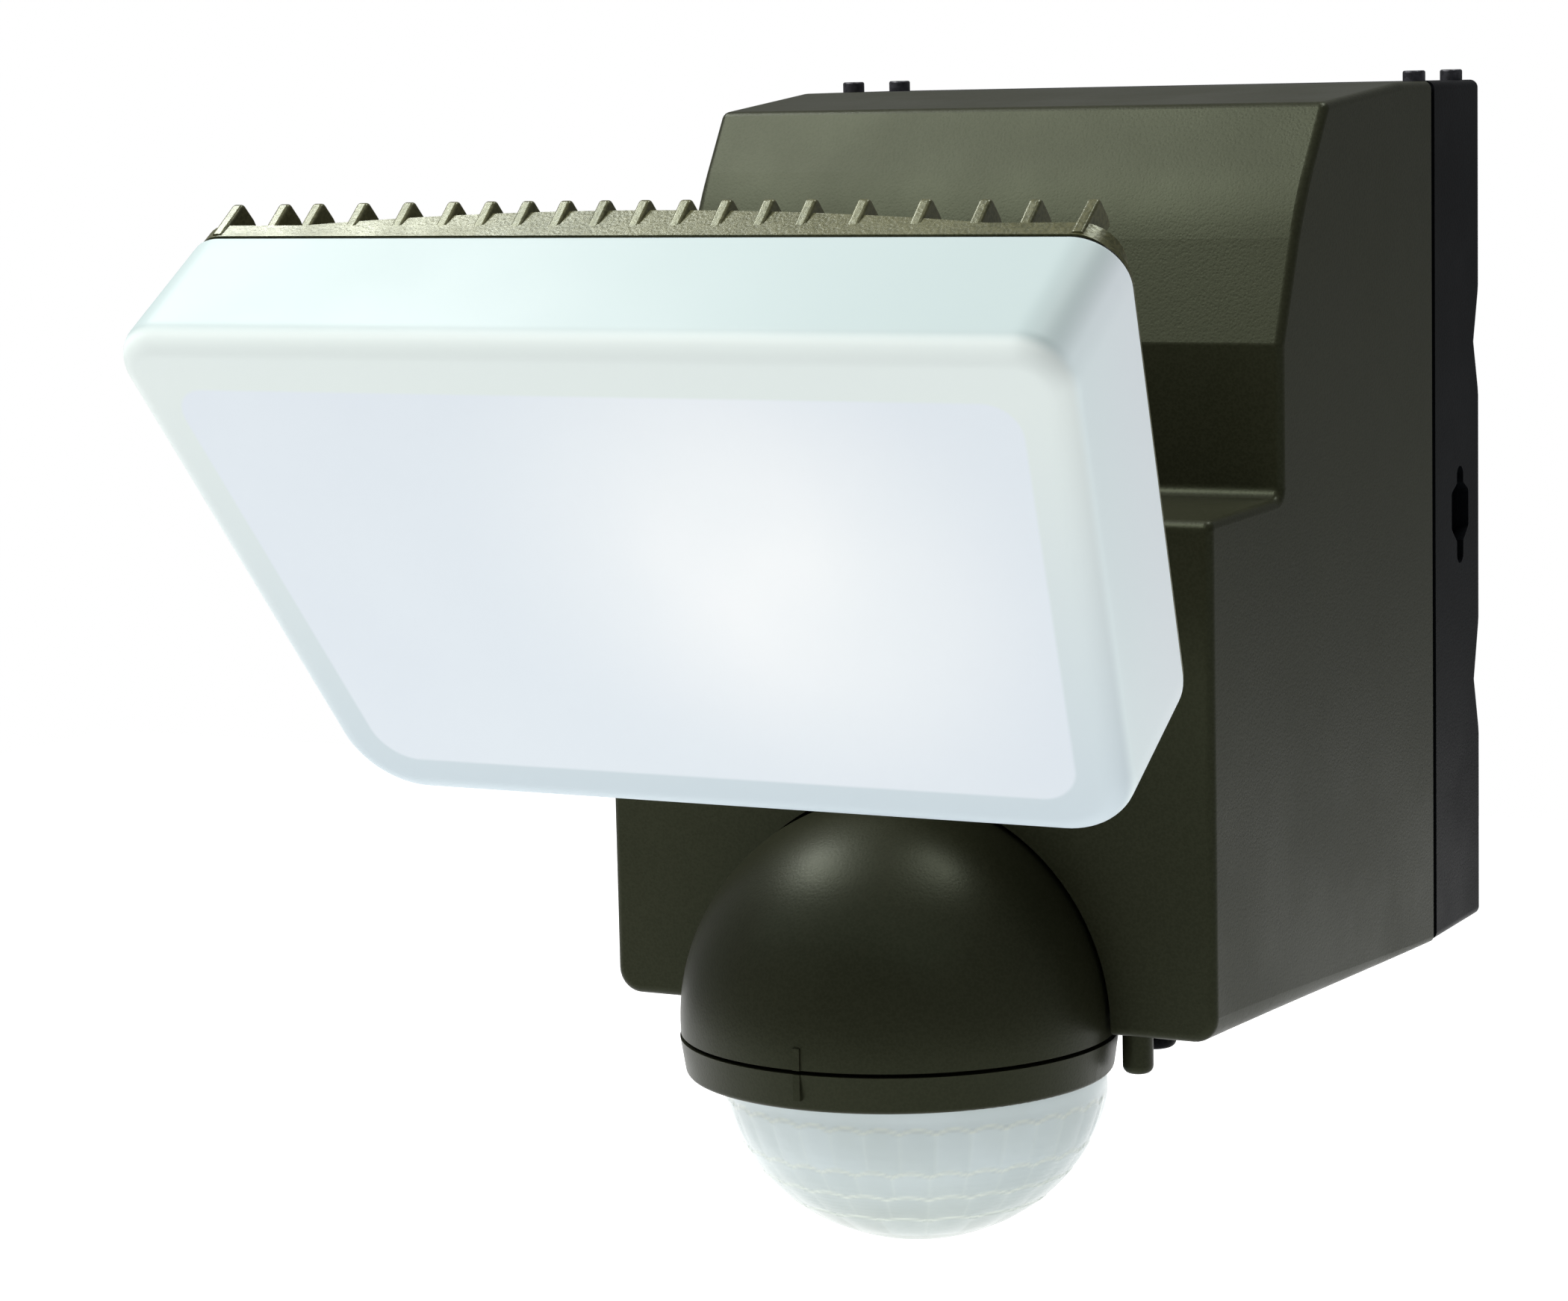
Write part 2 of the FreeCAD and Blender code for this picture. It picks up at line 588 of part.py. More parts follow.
def dial_controls():
    x, y = DIAL
    case = rod(3.0, (x, y, BOTTOM + WALL), (x, y, DIAL_BOARD_Z))
    case = case.cut(rod(DIAL_SHAFT + RUN_GAP, (x, y, BOTTOM), (x, y, DIAL_BOARD_Z - 1.2)))
    return both(case)


def dial_board_screws():
    seat_z = DIAL_BOARD_Z + BOARD_THICK
    screws = []
    for px, py in dial_pegs():
        screws += both(screw((px, py, seat_z), (0, 0, -1), 0.9, 5.5, 1.9, 1.2))
    return screws


def dial():
    x, y = DIAL
    low, high = DIAL_Z
    knob = rod(DIAL_R, (x, y, low), (x, y, high))
    foot = [e for e in knob.Edges if e.BoundBox.ZMax < low + 0.01 and e.Length > 20]
    knob = knob.makeFillet(1.3, foot)
    knob = knob.cut(box(x - 2.9, x + 2.9, y - 0.5, y + 0.5, low - 1, low + 1.2))
    shaft = rod(DIAL_SHAFT, (x, y, high - 1), (x, y, DIAL_BOARD_Z - 1.6))
    return knob.fuse(shaft).removeSplitter()


def base_outline():
    return rectangle(-17, 17, ARM_Z - 11, ARM_Z + 11, 3)


def arm_base_gasket():
    pad = front_plate(inset(base_outline(), 0.8), BASE_REAR, RECESS_Y)
    cuts = [rod(LEAD_HOLE_R, (0, -110, ARM_Z), (0, -80, ARM_Z))]
    cuts += [rod(1.6, (px, -110, ARM_Z + pz), (px, -80, ARM_Z + pz)) for px, pz in four(*BASE_SCREW_XZ)]
    return pad.cut(cuts)


def arm_base():
    plate = front_plate(base_outline(), BASE_FRONT, BASE_REAR)
    near, far = EAR_Z
    ears = []
    for s in (1, -1):
        low, high = sorted((ARM_Z + s * near, ARM_Z + s * far))
        ears.append(rod(8.5, (0, PAN_Y, low), (0, PAN_Y, high)))
        ears.append(box(-8.5, 8.5, PAN_Y, BASE_REAR - 1, low, high))
    body = join([plate] + ears)
    cuts = [rod(LEAD_HOLE_R, (0, -104, ARM_Z), (0, -80, ARM_Z))]
    cuts += [rod(1.3, (px, BASE_REAR - 3.6, ARM_Z + pz), (px, -80, ARM_Z + pz))
             for px, pz in four(*BASE_SCREW_XZ)]
    cuts.append(rod(PIN_R, (0, PAN_Y, ARM_Z - 20), (0, PAN_Y, ARM_Z + 20)))
    return body.cut(cuts)


def arm_base_screws():
    seat_y = RECESS_Y + WALL
    return [screw((px, seat_y, ARM_Z + pz), (0, -1, 0), 1.25, WALL + GASKET + 3.2, 2.6, 1.8)
            for px, pz in four(*BASE_SCREW_XZ)]


def arm():
    half = EAR_Z[0] - 0.3
    pan_end = rod(KNUCKLE_R, (0, PAN_Y, ARM_Z - half), (0, PAN_Y, ARM_Z + half))
    tilt_end = rod(KNUCKLE_R, (-11, TILT_Y, ARM_Z), (11, TILT_Y, ARM_Z))
    bar = front_plate(rectangle(-6.5, 6.5, ARM_Z - 6.2, ARM_Z + 6.2, 3), TILT_Y, PAN_Y)
    body = join([pan_end, tilt_end, bar])
    bores = [rod(PIN_R + RUN_GAP, (0, PAN_Y, ARM_Z + s * 4.2), (0, PAN_Y, ARM_Z + s * 9)) for s in (1, -1)]
    bores += [rod(PIN_R + RUN_GAP, (s * 5.5, TILT_Y, ARM_Z), (s * 12, TILT_Y, ARM_Z)) for s in (1, -1)]
    passage = rod(3.4, (0, PAN_Y + 9, ARM_Z), (0, TILT_Y - 9, ARM_Z))
    return body.cut(bores + [passage])


# Shouldered pin: its head bears on the ear and its end turns in the arm's bore
def pivot_pin(head_seat, axis, length):
    return screw(head_seat, axis, PIN_R, length, 4.2, 1.6)


def pan_pins():
    far = EAR_Z[1]
    return [pivot_pin((0, PAN_Y, ARM_Z + s * far), (0, 0, -s), far - 4.6) for s in (1, -1)]


def tilt_pins():
    return [pivot_pin((s * EAR_X[1], TILT_Y, ARM_Z), (-s, 0, 0), EAR_X[1] - 5.9) for s in (1, -1)]


def head_outline():
    return [(-HEAD_HALF_TOP, HEAD_TOP, TOP_CORNER), (HEAD_HALF_TOP, HEAD_TOP, TOP_CORNER),
            (HEAD_HALF_BOTTOM, HEAD_BOTTOM, LOW_CORNER), (-HEAD_HALF_BOTTOM, HEAD_BOTTOM, LOW_CORNER)]


def panel_outline():
    return [(-PANEL_HALF_TOP, 0, 6), (PANEL_HALF_TOP, 0, 6),
            (PANEL_HALF_BOTTOM, PANEL_BOTTOM, 7), (-PANEL_HALF_BOTTOM, PANEL_BOTTOM, 7)]


def tilted(shape):
    placed = shape.copy()
    placed.rotate(V(0, 0, 0), V(1, 0, 0), HEAD_TILT)
    placed.translate(V(*HEAD_ORIGIN))
    return placed


# The tilt axis in the upright head's own Y and Z
def pivot_in_head():
    reach = V(0, TILT_Y, ARM_Z) - V(*HEAD_ORIGIN)
    angle = math.radians(HEAD_TILT)
    y = reach.y * math.cos(angle) + reach.z * math.sin(angle)
    z = -reach.y * math.sin(angle) + reach.z * math.cos(angle)
    return y, z


def post_places():
    return [(s * x, z) for x, z in LENS_POSTS for s in (1, -1)]


def head_lens():
    tray = front_plate(head_outline(), 0, HEAD_DEPTH)
    front = [e for e in tray.Edges if e.BoundBox.YMax < 0.01]
    tray = tray.makeFillet(HEAD_ROUND, front)
    hollow = front_plate(inset(head_outline(), SHELL), SHELL, HEAD_DEPTH + 1)
    posts = [rod(3.2, (x, SHELL - 0.5, z), (x, HEAD_DEPTH, z)) for x, z in post_places()]
    body = join([tray.cut(hollow)] + posts)
    return body.cut([rod(1.2, (x, HEAD_DEPTH - 10, z), (x, HEAD_DEPTH + 1, z)) for x, z in post_places()])


def lens_gasket():
    ring = front_plate(inset(head_outline(), 0.5), HEAD_DEPTH, RIM[0])
    ring = ring.cut(front_plate(inset(head_outline(), 2.8), 0, 60))
    tabs = []
    for x, z in LENS_POSTS:
        low, high = (z - 3.4, 20) if z > 0 else (-100, z + 3.4)
        tabs += both(box(x - 3.4, 90, HEAD_DEPTH, RIM[0], low, high))
    tabs = join(tabs).common(front_plate(inset(head_outline(), 0.5), 0, 60))
    return join([ring, tabs]).cut([rod(1.5, (x, 0, z), (x, 60, z)) for x, z in post_places()])


# The lowest point of a fin, where it would leave the head's outline: on the slanted side,
# in the rounded lower corner or at the lower edge
def fin_low(x):
    reach = abs(x) + FIN_THICK / 2 + FIN_INSET
    slant = (HEAD_HALF_TOP - HEAD_HALF_BOTTOM) / (HEAD_TOP - HEAD_BOTTOM)
    side = HEAD_TOP - (HEAD_HALF_TOP - reach) / slant
    into = reach - (HEAD_HALF_BOTTOM - LOW_CORNER)
    corner = HEAD_BOTTOM
    if 0 < into < LOW_CORNER:
        corner += LOW_CORNER - math.sqrt(LOW_CORNER ** 2 - into ** 2)
    return max(side, corner, HEAD_BOTTOM + 2)


# Side view of a fin: it leaves the rim almost level, runs down along the back and falls
# away before the lower edge. The two outermost ones begin at the front of the rim.
def fin(x):
    tall = HEAD_TOP + 0.5 + 0.5 * (1 - (x / FIN_XS[-1]) ** 2)
    low = fin_low(x)
    buried = RIM[1] - 1.5
    front = [(buried, HEAD_TOP - 0.3, 0)]
    if abs(x) == FIN_XS[-1]:
        start = RIM[0] + 0.4
        front = [(buried, HEAD_TOP - 2, 0), (start, HEAD_TOP - 2, 0), (start, HEAD_TOP + 0.1, 0)]
    rear = [(FIN_BACK - 0.9, tall, 1.0), (FIN_BACK, tall - 4, 1.5), (FIN_BACK, low + 22, 8),
            (RIM[1], low, 0), (buried, low, 0)]
    blade = side_plate(front + rear, x - FIN_THICK / 2, x + FIN_THICK / 2)
    crest = [e for e in blade.Edges
             if e.BoundBox.XLength < 0.01 and e.BoundBox.YMax > RIM[1] + 1]
    return blade.makeFillet(FIN_ROUND, crest)


# The rim is flush with the tray along the top and stands back from it elsewhere
def rim_outline():
    slant = (HEAD_HALF_TOP - HEAD_HALF_BOTTOM) / (HEAD_TOP - HEAD_BOTTOM)
    top = HEAD_TOP - 0.1
    corners = []
    for x, z, radius in inset(head_outline(), RIM_INSET):
        if z > 0:
            x += math.copysign(slant * (top - z), x)
            z = top
        corners.append((x, z, radius))
    return corners


def heat_sink():
    rim = front_plate(rim_outline(), *RIM)
    flange = front_plate(inset(head_outline(), 0.5), RIM[0], RIM[0] + RIM_FLANGE)
    plate = front_plate([(-66, HEAD_TOP - 0.2, 4), (66, HEAD_TOP - 0.2, 4),
                         (64, HEAD_BOTTOM + 8, 12), (-64, HEAD_BOTTOM + 8, 12)],
                        RIM[1] - 1, PLATE_BACK + 1)
    bend_y = PLATE_BACK - PLATE_BEND
    plate = plate.common(rod(PLATE_BEND, (0, bend_y, -100), (0, bend_y, 100)))
    y, z = pivot_in_head()
    near, far = EAR_X
    ear = side_plate([(PLATE_BACK - 3, z + 13, 0), (y, z + KNUCKLE_R, 0), (y, z - KNUCKLE_R, 0),
                      (PLATE_BACK - 3, z - 13, 0)], near, far)
    ear = ear.fuse(rod(KNUCKLE_R, (near, y, z), (far, y, z)))
    well = box(-near, near, PLATE_BACK, 60, z - 12, z + 12)
    body = join([rim, flange, plate] + [fin(x) for x in FIN_XS]).cut(well)
    sides = both(box(far, far + 6.2, PLATE_BACK, 60, z - 6, z + 6))
    body = join([body.cut(sides)] + both(ear))
    cuts = [rod(PIN_R, (-20, y, z), (20, y, z)), rod(4.0, (0, 20, z), (0, 40, z))]
    for x, pz in post_places():
        cuts.append(rod(1.5, (x, 20, pz), (x, 60, pz)))
        cuts.append(rod(3.1, (x, RIM[1], pz), (x, 60, pz)))
    cuts += [rod(1.25, (px, 20, LED_PLATE_MIDDLE + pz), (px, RIM[1] + 0.9, LED_PLATE_MIDDLE + pz))
             for px, pz in four(*LED_PLATE_HOLE)]
    return body.cut(cuts)


def led_board():
    plate = front_plate(rectangle(-50, 50, LED_PLATE_MIDDLE - 26, LED_PLATE_MIDDLE + 26, 3), *LED_PLATE)
    z = pivot_in_head()[1]
    cuts = [rod(1.5, (px, 20, LED_PLATE_MIDDLE + pz), (px, 40, LED_PLATE_MIDDLE + pz))
            for px, pz in four(*LED_PLATE_HOLE)]
    return plate.cut(cuts + [rod(3.0, (0, 20, z), (0, 40, z))])


def leds():
    chips = []
    for column in range(6):
        for row in range(3):
            x = (column - 2.5) * 14
            z = LED_PLATE_MIDDLE + (row - 1) * 18
            chips.append(box(x - 1.75, x + 1.75, LED_PLATE[0] - 0.9, LED_PLATE[0], z - 1.75, z + 1.75))
    return chips


def led_board_screws():
    return [screw((px, LED_PLATE[0], LED_PLATE_MIDDLE + pz), (0, 1, 0), 1.2, 4.6, 2.5, 1.6)
            for px, pz in four(*LED_PLATE_HOLE)]


# A white tray: its rim frames the lit panel and its walls slope back to the lamp board
def reflector():
    front, back = 4.6, LED_PLATE[0]
    small = inset(panel_outline(), 11)

    def section(corners, y):
        return rounded_wire(corners, lambda a, b: V(a, y, b))

    outer = Part.makeLoft([section(panel_outline(), front), section(small, back)], True, True)
    inner = Part.makeLoft([section(inset(panel_outline(), 1.2), front - 0.01),
                           section(inset(small, 1.2), back + 0.01)], True, True)
    flange = front_plate(inset(head_outline(), SHELL + 0.6), front, front + 1.2)
    flange = flange.cut(front_plate(inset(panel_outline(), 0.6), front - 1, front + 3))
    body = join([outer.cut(inner), flange])
    return body.cut([rod(3.7, (x, 0, z), (x, 40, z)) for x, z in post_places()])


def lens_screws():
    return [screw((x, RIM[1], z), (0, -1, 0), 1.2, 10, 2.8, 1.8) for x, z in post_places()]


def hood():
    shell = ball(BALL_R).cut(ball(BALL_R - BALL_WALL))
    shell = shell.cut(box(-60, 60, -190, -60, -140, HOOD_END))
    y = BALL[1]
    rib = box(-0.65, 0.65, y - BALL_R - 0.35, y - BALL_R + 1.2, HOOD_END, HOOD_END + 3.8)
    low, high = SENSOR_TILT
    slot = stud_slot(BALL_R - BALL_WALL - 3, BALL_R + 3, 4.4, V(1, 0, 0), V(1, 0, 0), low - 1, high + 1)
    return shell.fuse(rib).removeSplitter().cut(slot)


def lens_section(radius, drop, top):
    side = V(radius, LENS_Y, RING_BOTTOM)
    tip = V(0, LENS_Y, RING_BOTTOM - drop)
    curve = Part.Ellipse(side, tip, V(0, LENS_Y, RING_BOTTOM))
    arc = curve.toShape(0, math.pi / 2)
    if arc.valueAt(arc.LastParameter).z > RING_BOTTOM - 1:
        arc = curve.toShape(-math.pi / 2, 0)
    edges = [arc, Part.LineSegment(tip, V(0, LENS_Y, top)).toShape(),
             Part.LineSegment(V(0, LENS_Y, top), V(radius, LENS_Y, top)).toShape(),
             Part.LineSegment(V(radius, LENS_Y, top), side).toShape()]
    face = Part.Face(Part.Wire(Part.__sortEdges__(edges)))
    return face.revolve(V(0, LENS_Y, 0), V(0, 0, 1), 360)


def sensor_lens():
    top = RING_BOTTOM + 3.4
    x, y, _ = BALL
    keep = rod(LENS_CUT, (x, y, -130), (x, y, -80))
    outer = lens_section(LENS_R, LENS_DROP, top).common(keep)
    inner = lens_section(LENS_R - LENS_WALL, LENS_DROP - LENS_WALL, top + 1)
    inner = inner.common(rod(LENS_CUT - LENS_WALL, (x, y, -130), (x, y, -80)))
    flange = rod(LENS_R + 0.9, (x, LENS_Y, RING_BOTTOM + 2), (x, LENS_Y, top))
    flange = flange.common(keep).cut([rod(2.5, (px, py, -95), (px, py, -80)) for px, py in BOSSES])
    return join([outer, flange]).cut(inner)


def sensor_ring():
    x, y, _ = BALL
    band = Part.makeCone(RING_R[1], RING_R[0], RING_TOP - RING_BOTTOM, V(x, y, RING_BOTTOM))
    foot = [e for e in band.Edges if e.BoundBox.ZMax < RING_BOTTOM + 0.01 and e.Length > 100]
    band = band.makeFillet(0.9, foot)
    spigot = rod(36.1, (x, y, RING_TOP - 2), (x, y, RING_TOP + 3.8))
    bored = rod(LENS_CUT + 0.1, (x, y, RING_BOTTOM + 2), (x, y, RING_TOP - 1.4))
    bored = bored.fuse(rod(34.9, (x, y, RING_BOTTOM + 2), (x, y, -70)))
    mouth = rod(LENS_R + 0.1, (x, LENS_Y, RING_BOTTOM - 1), (x, LENS_Y, RING_BOTTOM + 3))
    mouth = mouth.common(rod(LENS_CUT + 0.1, (x, y, -100), (x, y, -80)))
    rib = box(-0.65, 0.65, y - RING_R[0] - 0.2, y - RING_R[0] + 1.5, RING_TOP - 4.5, RING_TOP)
    bosses = [rod(2.3, (px, py, RING_BOTTOM + 1), (px, py, RING_TOP)) for px, py in BOSSES]
    body = join([band, spigot, rib]).cut([bored, mouth])
    body = join([body] + bosses)
    return body.cut([rod(0.9, (px, py, RING_BOTTOM + 1.4), (px, py, -70)) for px, py in BOSSES])


def sensor_holder():
    x, y, _ = BALL
    disc = rod(34.6, (x, y, HOLDER_Z[0]), (x, y, HOLDER_Z[1]))
    cuts = [box(-15, 15, LENS_Y - 9, LENS_Y + 9, -90, -70)]
    cuts += [rod(1.1, (px, py, -90), (px, py, -70)) for px, py in BOSSES]
    return disc.cut(cuts)


def sensor_board():
    return rod(24, (0, -124, HOLDER_Z[1]), (0, -124, HOLDER_Z[1] + BOARD_THICK))


def motion_detector():
    base = rod(4.6, (0, LENS_Y, HOLDER_Z[1] - 4.2), (0, LENS_Y, HOLDER_Z[1]))
    lip = rod(5.0, (0, LENS_Y, HOLDER_Z[1] - 0.5), (0, LENS_Y, HOLDER_Z[1]))
    return base.fuse(lip).cut(box(-2, 2, LENS_Y - 1.5, LENS_Y + 1.5, HOLDER_Z[1] - 5, HOLDER_Z[1] - 4))


def sensor_screws():
    return [screw((px, py, HOLDER_Z[1]), (0, 0, -1), 0.9, 5.0, 1.8, 1.1) for px, py in BOSSES]


# Points on the stud's axis, which leaves the ball's centre backwards and upwards
def on_stud(distance):
    angle = math.radians(STUD_ANGLE)
    x, y, z = BALL
    return (x, y + distance * math.cos(angle), z + distance * math.sin(angle))


def sensor_stud():
    flange = rod(8.0, on_stud(28), on_stud(40)).common(ball(BALL_R - BALL_WALL - 0.4))
    flange = flange.cut(ball(BALL_R - BALL_WALL - 2.4))
    stem = rod(4.0, on_stud(34.6), on_stud(55))
    return flange.fuse(stem).removeSplitter().cut(rod(2.2, on_stud(28), on_stud(60)))


def sensor_washer():
    outer, inner = POCKET_R + POCKET_WALL + 1.9, POCKET_R + POCKET_WALL + 0.35
    dish = rod(8.0, on_stud(36), on_stud(50)).common(ball(outer)).cut(ball(inner))
    return dish.cut(rod(4.1, on_stud(30), on_stud(60)))


def sensor_spring():
    return tube(6.0, 4.6, on_stud(POCKET_R + POCKET_WALL + 1.95), on_stud(50))


def sensor_nut():
    turn = [(7.2 * math.cos(math.radians(60 * i)), 7.2 * math.sin(math.radians(60 * i)), 0)
            for i in range(6)]
    nut = floor_plate(turn, 0, 3.6)
    angle = math.radians(STUD_ANGLE)
    nut.Placement = FreeCAD.Placement(V(*on_stud(50)), FreeCAD.Rotation(
        V(0, 0, 1), V(0, math.cos(angle), math.sin(angle))))
    return nut.cut(rod(4.0, on_stud(45), on_stud(60)))


def write(name, shape):
    if isinstance(shape, list):
        shape = Part.makeCompound(shape)
    shape.exportStep(os.path.join("parts", name + ".step"))
    print(name, len(shape.Solids), "solids", round(shape.Volume / 1000, 2), "cm3",
          "valid" if shape.isValid() else "NOT VALID")


def main():
    os.makedirs("parts", exist_ok=True)
    body = {"housing": housing(), "back_box": back_box(), "seam_gasket": seam_gasket(),
            "wall_bracket": wall_bracket(), "top_studs": top_studs(),
            "housing_screws": housing_screws(), "lock_screws": lock_screws(),
            "battery_tray": battery_tray(), "battery_cells": battery_cells(),
            "contact_plates": contact_plates(), "contact_springs": contact_springs(),
            "tray_screws": tray_screws(), "control_board": control_board(),
            "board_screws": board_screws(), "capacitors": capacitors(),
            "power_coil": power_coil(), "controller_chip": controller_chip(),
            "lead_sockets": lead_sockets(), "dial_boards": dial_boards(),
            "dial_controls": dial_controls(), "dial_board_screws": dial_board_screws(),
            "time_dial": dial(), "range_dial": mirrored(dial()),
            "arm_base_gasket": arm_base_gasket(), "arm_base": arm_base(),
            "arm_base_screws": arm_base_screws(), "arm": arm(), "pan_pins": pan_pins(),
            "tilt_pins": tilt_pins()}
    head = {"head_lens": head_lens(), "lens_gasket": lens_gasket(), "heat_sink": heat_sink(),
            "led_board": led_board(), "leds": leds(), "led_board_screws": led_board_screws(),
            "reflector": reflector(), "lens_screws": lens_screws()}
    sensor = {"hood": hood(), "sensor_ring": sensor_ring(), "sensor_lens": sensor_lens(),
              "sensor_holder": sensor_holder(), "sensor_board": sensor_board(),
              "motion_detector": motion_detector(), "sensor_screws": sensor_screws(),
              "sensor_stud": sensor_stud(), "sensor_washer": sensor_washer(),
              "sensor_spring": sensor_spring(), "sensor_nut": sensor_nut()}
    for name, shape in body.items():
        write(name, shape)
    for name, shape in head.items():
        pieces = shape if isinstance(shape, list) else [shape]
        write(name, [tilted(piece) for piece in pieces])
    for name, shape in sensor.items():
        write(name, shape)


main()
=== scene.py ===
import json
import math

import bpy
import numpy as np
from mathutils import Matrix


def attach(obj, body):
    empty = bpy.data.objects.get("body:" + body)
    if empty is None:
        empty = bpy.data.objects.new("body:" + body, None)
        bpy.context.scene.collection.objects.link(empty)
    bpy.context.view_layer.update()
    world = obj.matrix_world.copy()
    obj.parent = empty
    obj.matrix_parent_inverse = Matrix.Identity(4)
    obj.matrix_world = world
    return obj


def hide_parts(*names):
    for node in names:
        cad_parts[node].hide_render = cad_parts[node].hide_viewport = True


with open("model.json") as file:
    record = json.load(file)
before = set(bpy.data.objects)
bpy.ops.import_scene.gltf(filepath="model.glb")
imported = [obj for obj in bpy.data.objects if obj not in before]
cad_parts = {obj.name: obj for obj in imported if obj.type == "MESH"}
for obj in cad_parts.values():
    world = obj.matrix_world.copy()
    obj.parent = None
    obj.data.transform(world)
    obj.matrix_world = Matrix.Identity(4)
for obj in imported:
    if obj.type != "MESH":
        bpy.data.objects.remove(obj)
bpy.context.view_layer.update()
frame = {"nodes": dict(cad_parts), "record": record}
print("frame loaded with", len(frame["nodes"]), "nodes")

mm = 0.001

# where the lamp head was tilted and moved to; its own upright frame is used by shapes and materials
head = {
    "tilt": 33.5,
    "origin": (0.0, -0.2338, 0.037),
    "top": 10.5 * mm,
    "bottom": -86.5 * mm,
    "halfTop": 84.9 * mm,
    "halfBottom": 71.3 * mm,
}


# A closed skin: rows of points are rings that share one count; each ring joins the next with
# four-sided faces, and the first and last rings close on one pole point each.
def ringSkin(name, rings, firstPole, lastPole):
    rows, columns = rings.shape[:2]
    points = np.concatenate([[firstPole], rings.reshape(-1, 3), [lastPole]])
    index = 1 + np.arange(rows * columns).reshape(rows, columns)
    along = np.roll(index, -1, axis=1)
    quads = np.stack([index[:-1], along[:-1], along[1:], index[1:]], -1).reshape(-1, 4)
    last = len(points) - 1
    firstFan = np.stack([np.zeros(columns, int), along[0], index[0]], -1)
    lastFan = np.stack([np.full(columns, last), index[-1], along[-1]], -1)
    mesh = bpy.data.meshes.new(name)
    mesh.from_pydata(points.tolist(), [], quads.tolist() + firstFan.tolist() + lastFan.tolist())
    mesh.polygons.foreach_set("use_smooth", np.ones(len(mesh.polygons), bool))
    mesh.update()
    return mesh


# An object at the origin that rides on a body and stands for CAD nodes
def newPiece(name, mesh, body, slot, look, *nodes):
    piece = bpy.data.objects.new(name, mesh)
    bpy.context.scene.collection.objects.link(piece)
    mesh.materials.append(look)
    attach(piece, body)
    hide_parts(*nodes)
    return piece


# Points of the upright head frame turned by the tilt about X and moved to the head's place
def headToRow(points):
    angle = math.radians(head["tilt"])
    turn = np.array([[1, 0, 0], [0, math.cos(angle), -math.sin(angle)],
                     [0, math.sin(angle), math.cos(angle)]])
    return points @ turn.T + np.array(head["origin"])


def shaderNode(tree, kind, sockets=None, **settings):
    made = tree.nodes.new("ShaderNode" + kind)
    for name, value in settings.items():
        setattr(made, name, value)
    for key, value in (sockets or {}).items():
        if isinstance(value, bpy.types.NodeSocket):
            tree.links.new(value, made.inputs[key])
        else:
            made.inputs[key].default_value = value
    return made


def newLook(name):
    look = bpy.data.materials.new(name)
    look.use_nodes = True
    tree = look.node_tree
    tree.nodes.clear()
    surface = shaderNode(tree, "BsdfPrincipled")
    shaderNode(tree, "OutputMaterial", {"Surface": surface.outputs["BSDF"]})
    return look, tree, surface


def finishLook(tree, surface, colour, roughness, normal, **fixed):
    tree.links.new(colour, surface.inputs["Base Color"])
    tree.links.new(roughness, surface.inputs["Roughness"])
    if normal is not None:
        tree.links.new(normal, surface.inputs["Normal"])
    for name, value in fixed.items():
        surface.inputs[name.replace("_", " ")].default_value = value


def objectPlace(tree, stretch=None, shift=(0, 0, 0), turn=(0, 0, 0)):
    place = shaderNode(tree, "TexCoord").outputs["Object"]
    if stretch is None:
        return place
    return shaderNode(tree, "Mapping", {"Vector": place, "Location": shift, "Rotation": turn,
                                        "Scale": stretch}).outputs["Vector"]


# Object coordinates taken back into the upright head frame
def headPlace(tree):
    place = shaderNode(tree, "TexCoord").outputs["Object"]
    return shaderNode(tree, "Mapping", {
        "Vector": place, "Location": head["origin"],
        "Rotation": (math.radians(head["tilt"]), 0, 0)}, vector_type="TEXTURE").outputs["Vector"]


def noise(tree, place, size, detail=3.0, rough=0.5, distortion=0.0):
    return shaderNode(tree, "TexNoise", {
        "Vector": place, "Scale": 1 / size, "Detail": detail, "Roughness": rough,
        "Distortion": distortion}).outputs[0]


def cells(tree, place, size, output="Distance"):
    return shaderNode(tree, "TexVoronoi", {
        "Vector": place, "Scale": 1 / size, "Randomness": 1.0}, feature="F1").outputs[output]


def calc(tree, operation, *values):
    made = shaderNode(tree, "Math", dict(enumerate(values)), operation=operation)
    return made.outputs[0]


def spread(tree, value, low, high, toLow=0.0, toHigh=1.0, smooth=True):
    return shaderNode(tree, "MapRange", {
        "Value": value, "From Min": low, "From Max": high, "To Min": toLow, "To Max": toHigh},
        interpolation_type="SMOOTHSTEP" if smooth else "LINEAR").outputs["Result"]


def blend(tree, share, first, second, how="MIX"):
    made = tree.nodes.new("ShaderNodeMix")
    made.data_type = "RGBA"
    made.blend_type = how
    for key, value in ((0, share), (6, first), (7, second)):
        if isinstance(value, bpy.types.NodeSocket):
            tree.links.new(value, made.inputs[key])
        else:
            made.inputs[key].default_value = (*value, 1) if isinstance(value, tuple) else value
    return made.outputs[2]


def bump(tree, height, depth, under=None, strength=1.0):
    sockets = {"Height": height, "Distance": depth, "Strength": strength}
    if under is not None:
        sockets["Normal"] = under
    return shaderNode(tree, "Bump", sockets).outputs["Normal"]


# sRGB steps of 0 to 255 as the light they stand for
def tone(red, green, blue):
    steps = np.array([red, green, blue]) / 255
    return tuple(float(x) for x in np.where(steps < 0.04045, steps / 12.92,
                                            ((steps + 0.055) / 1.055) ** 2.4))


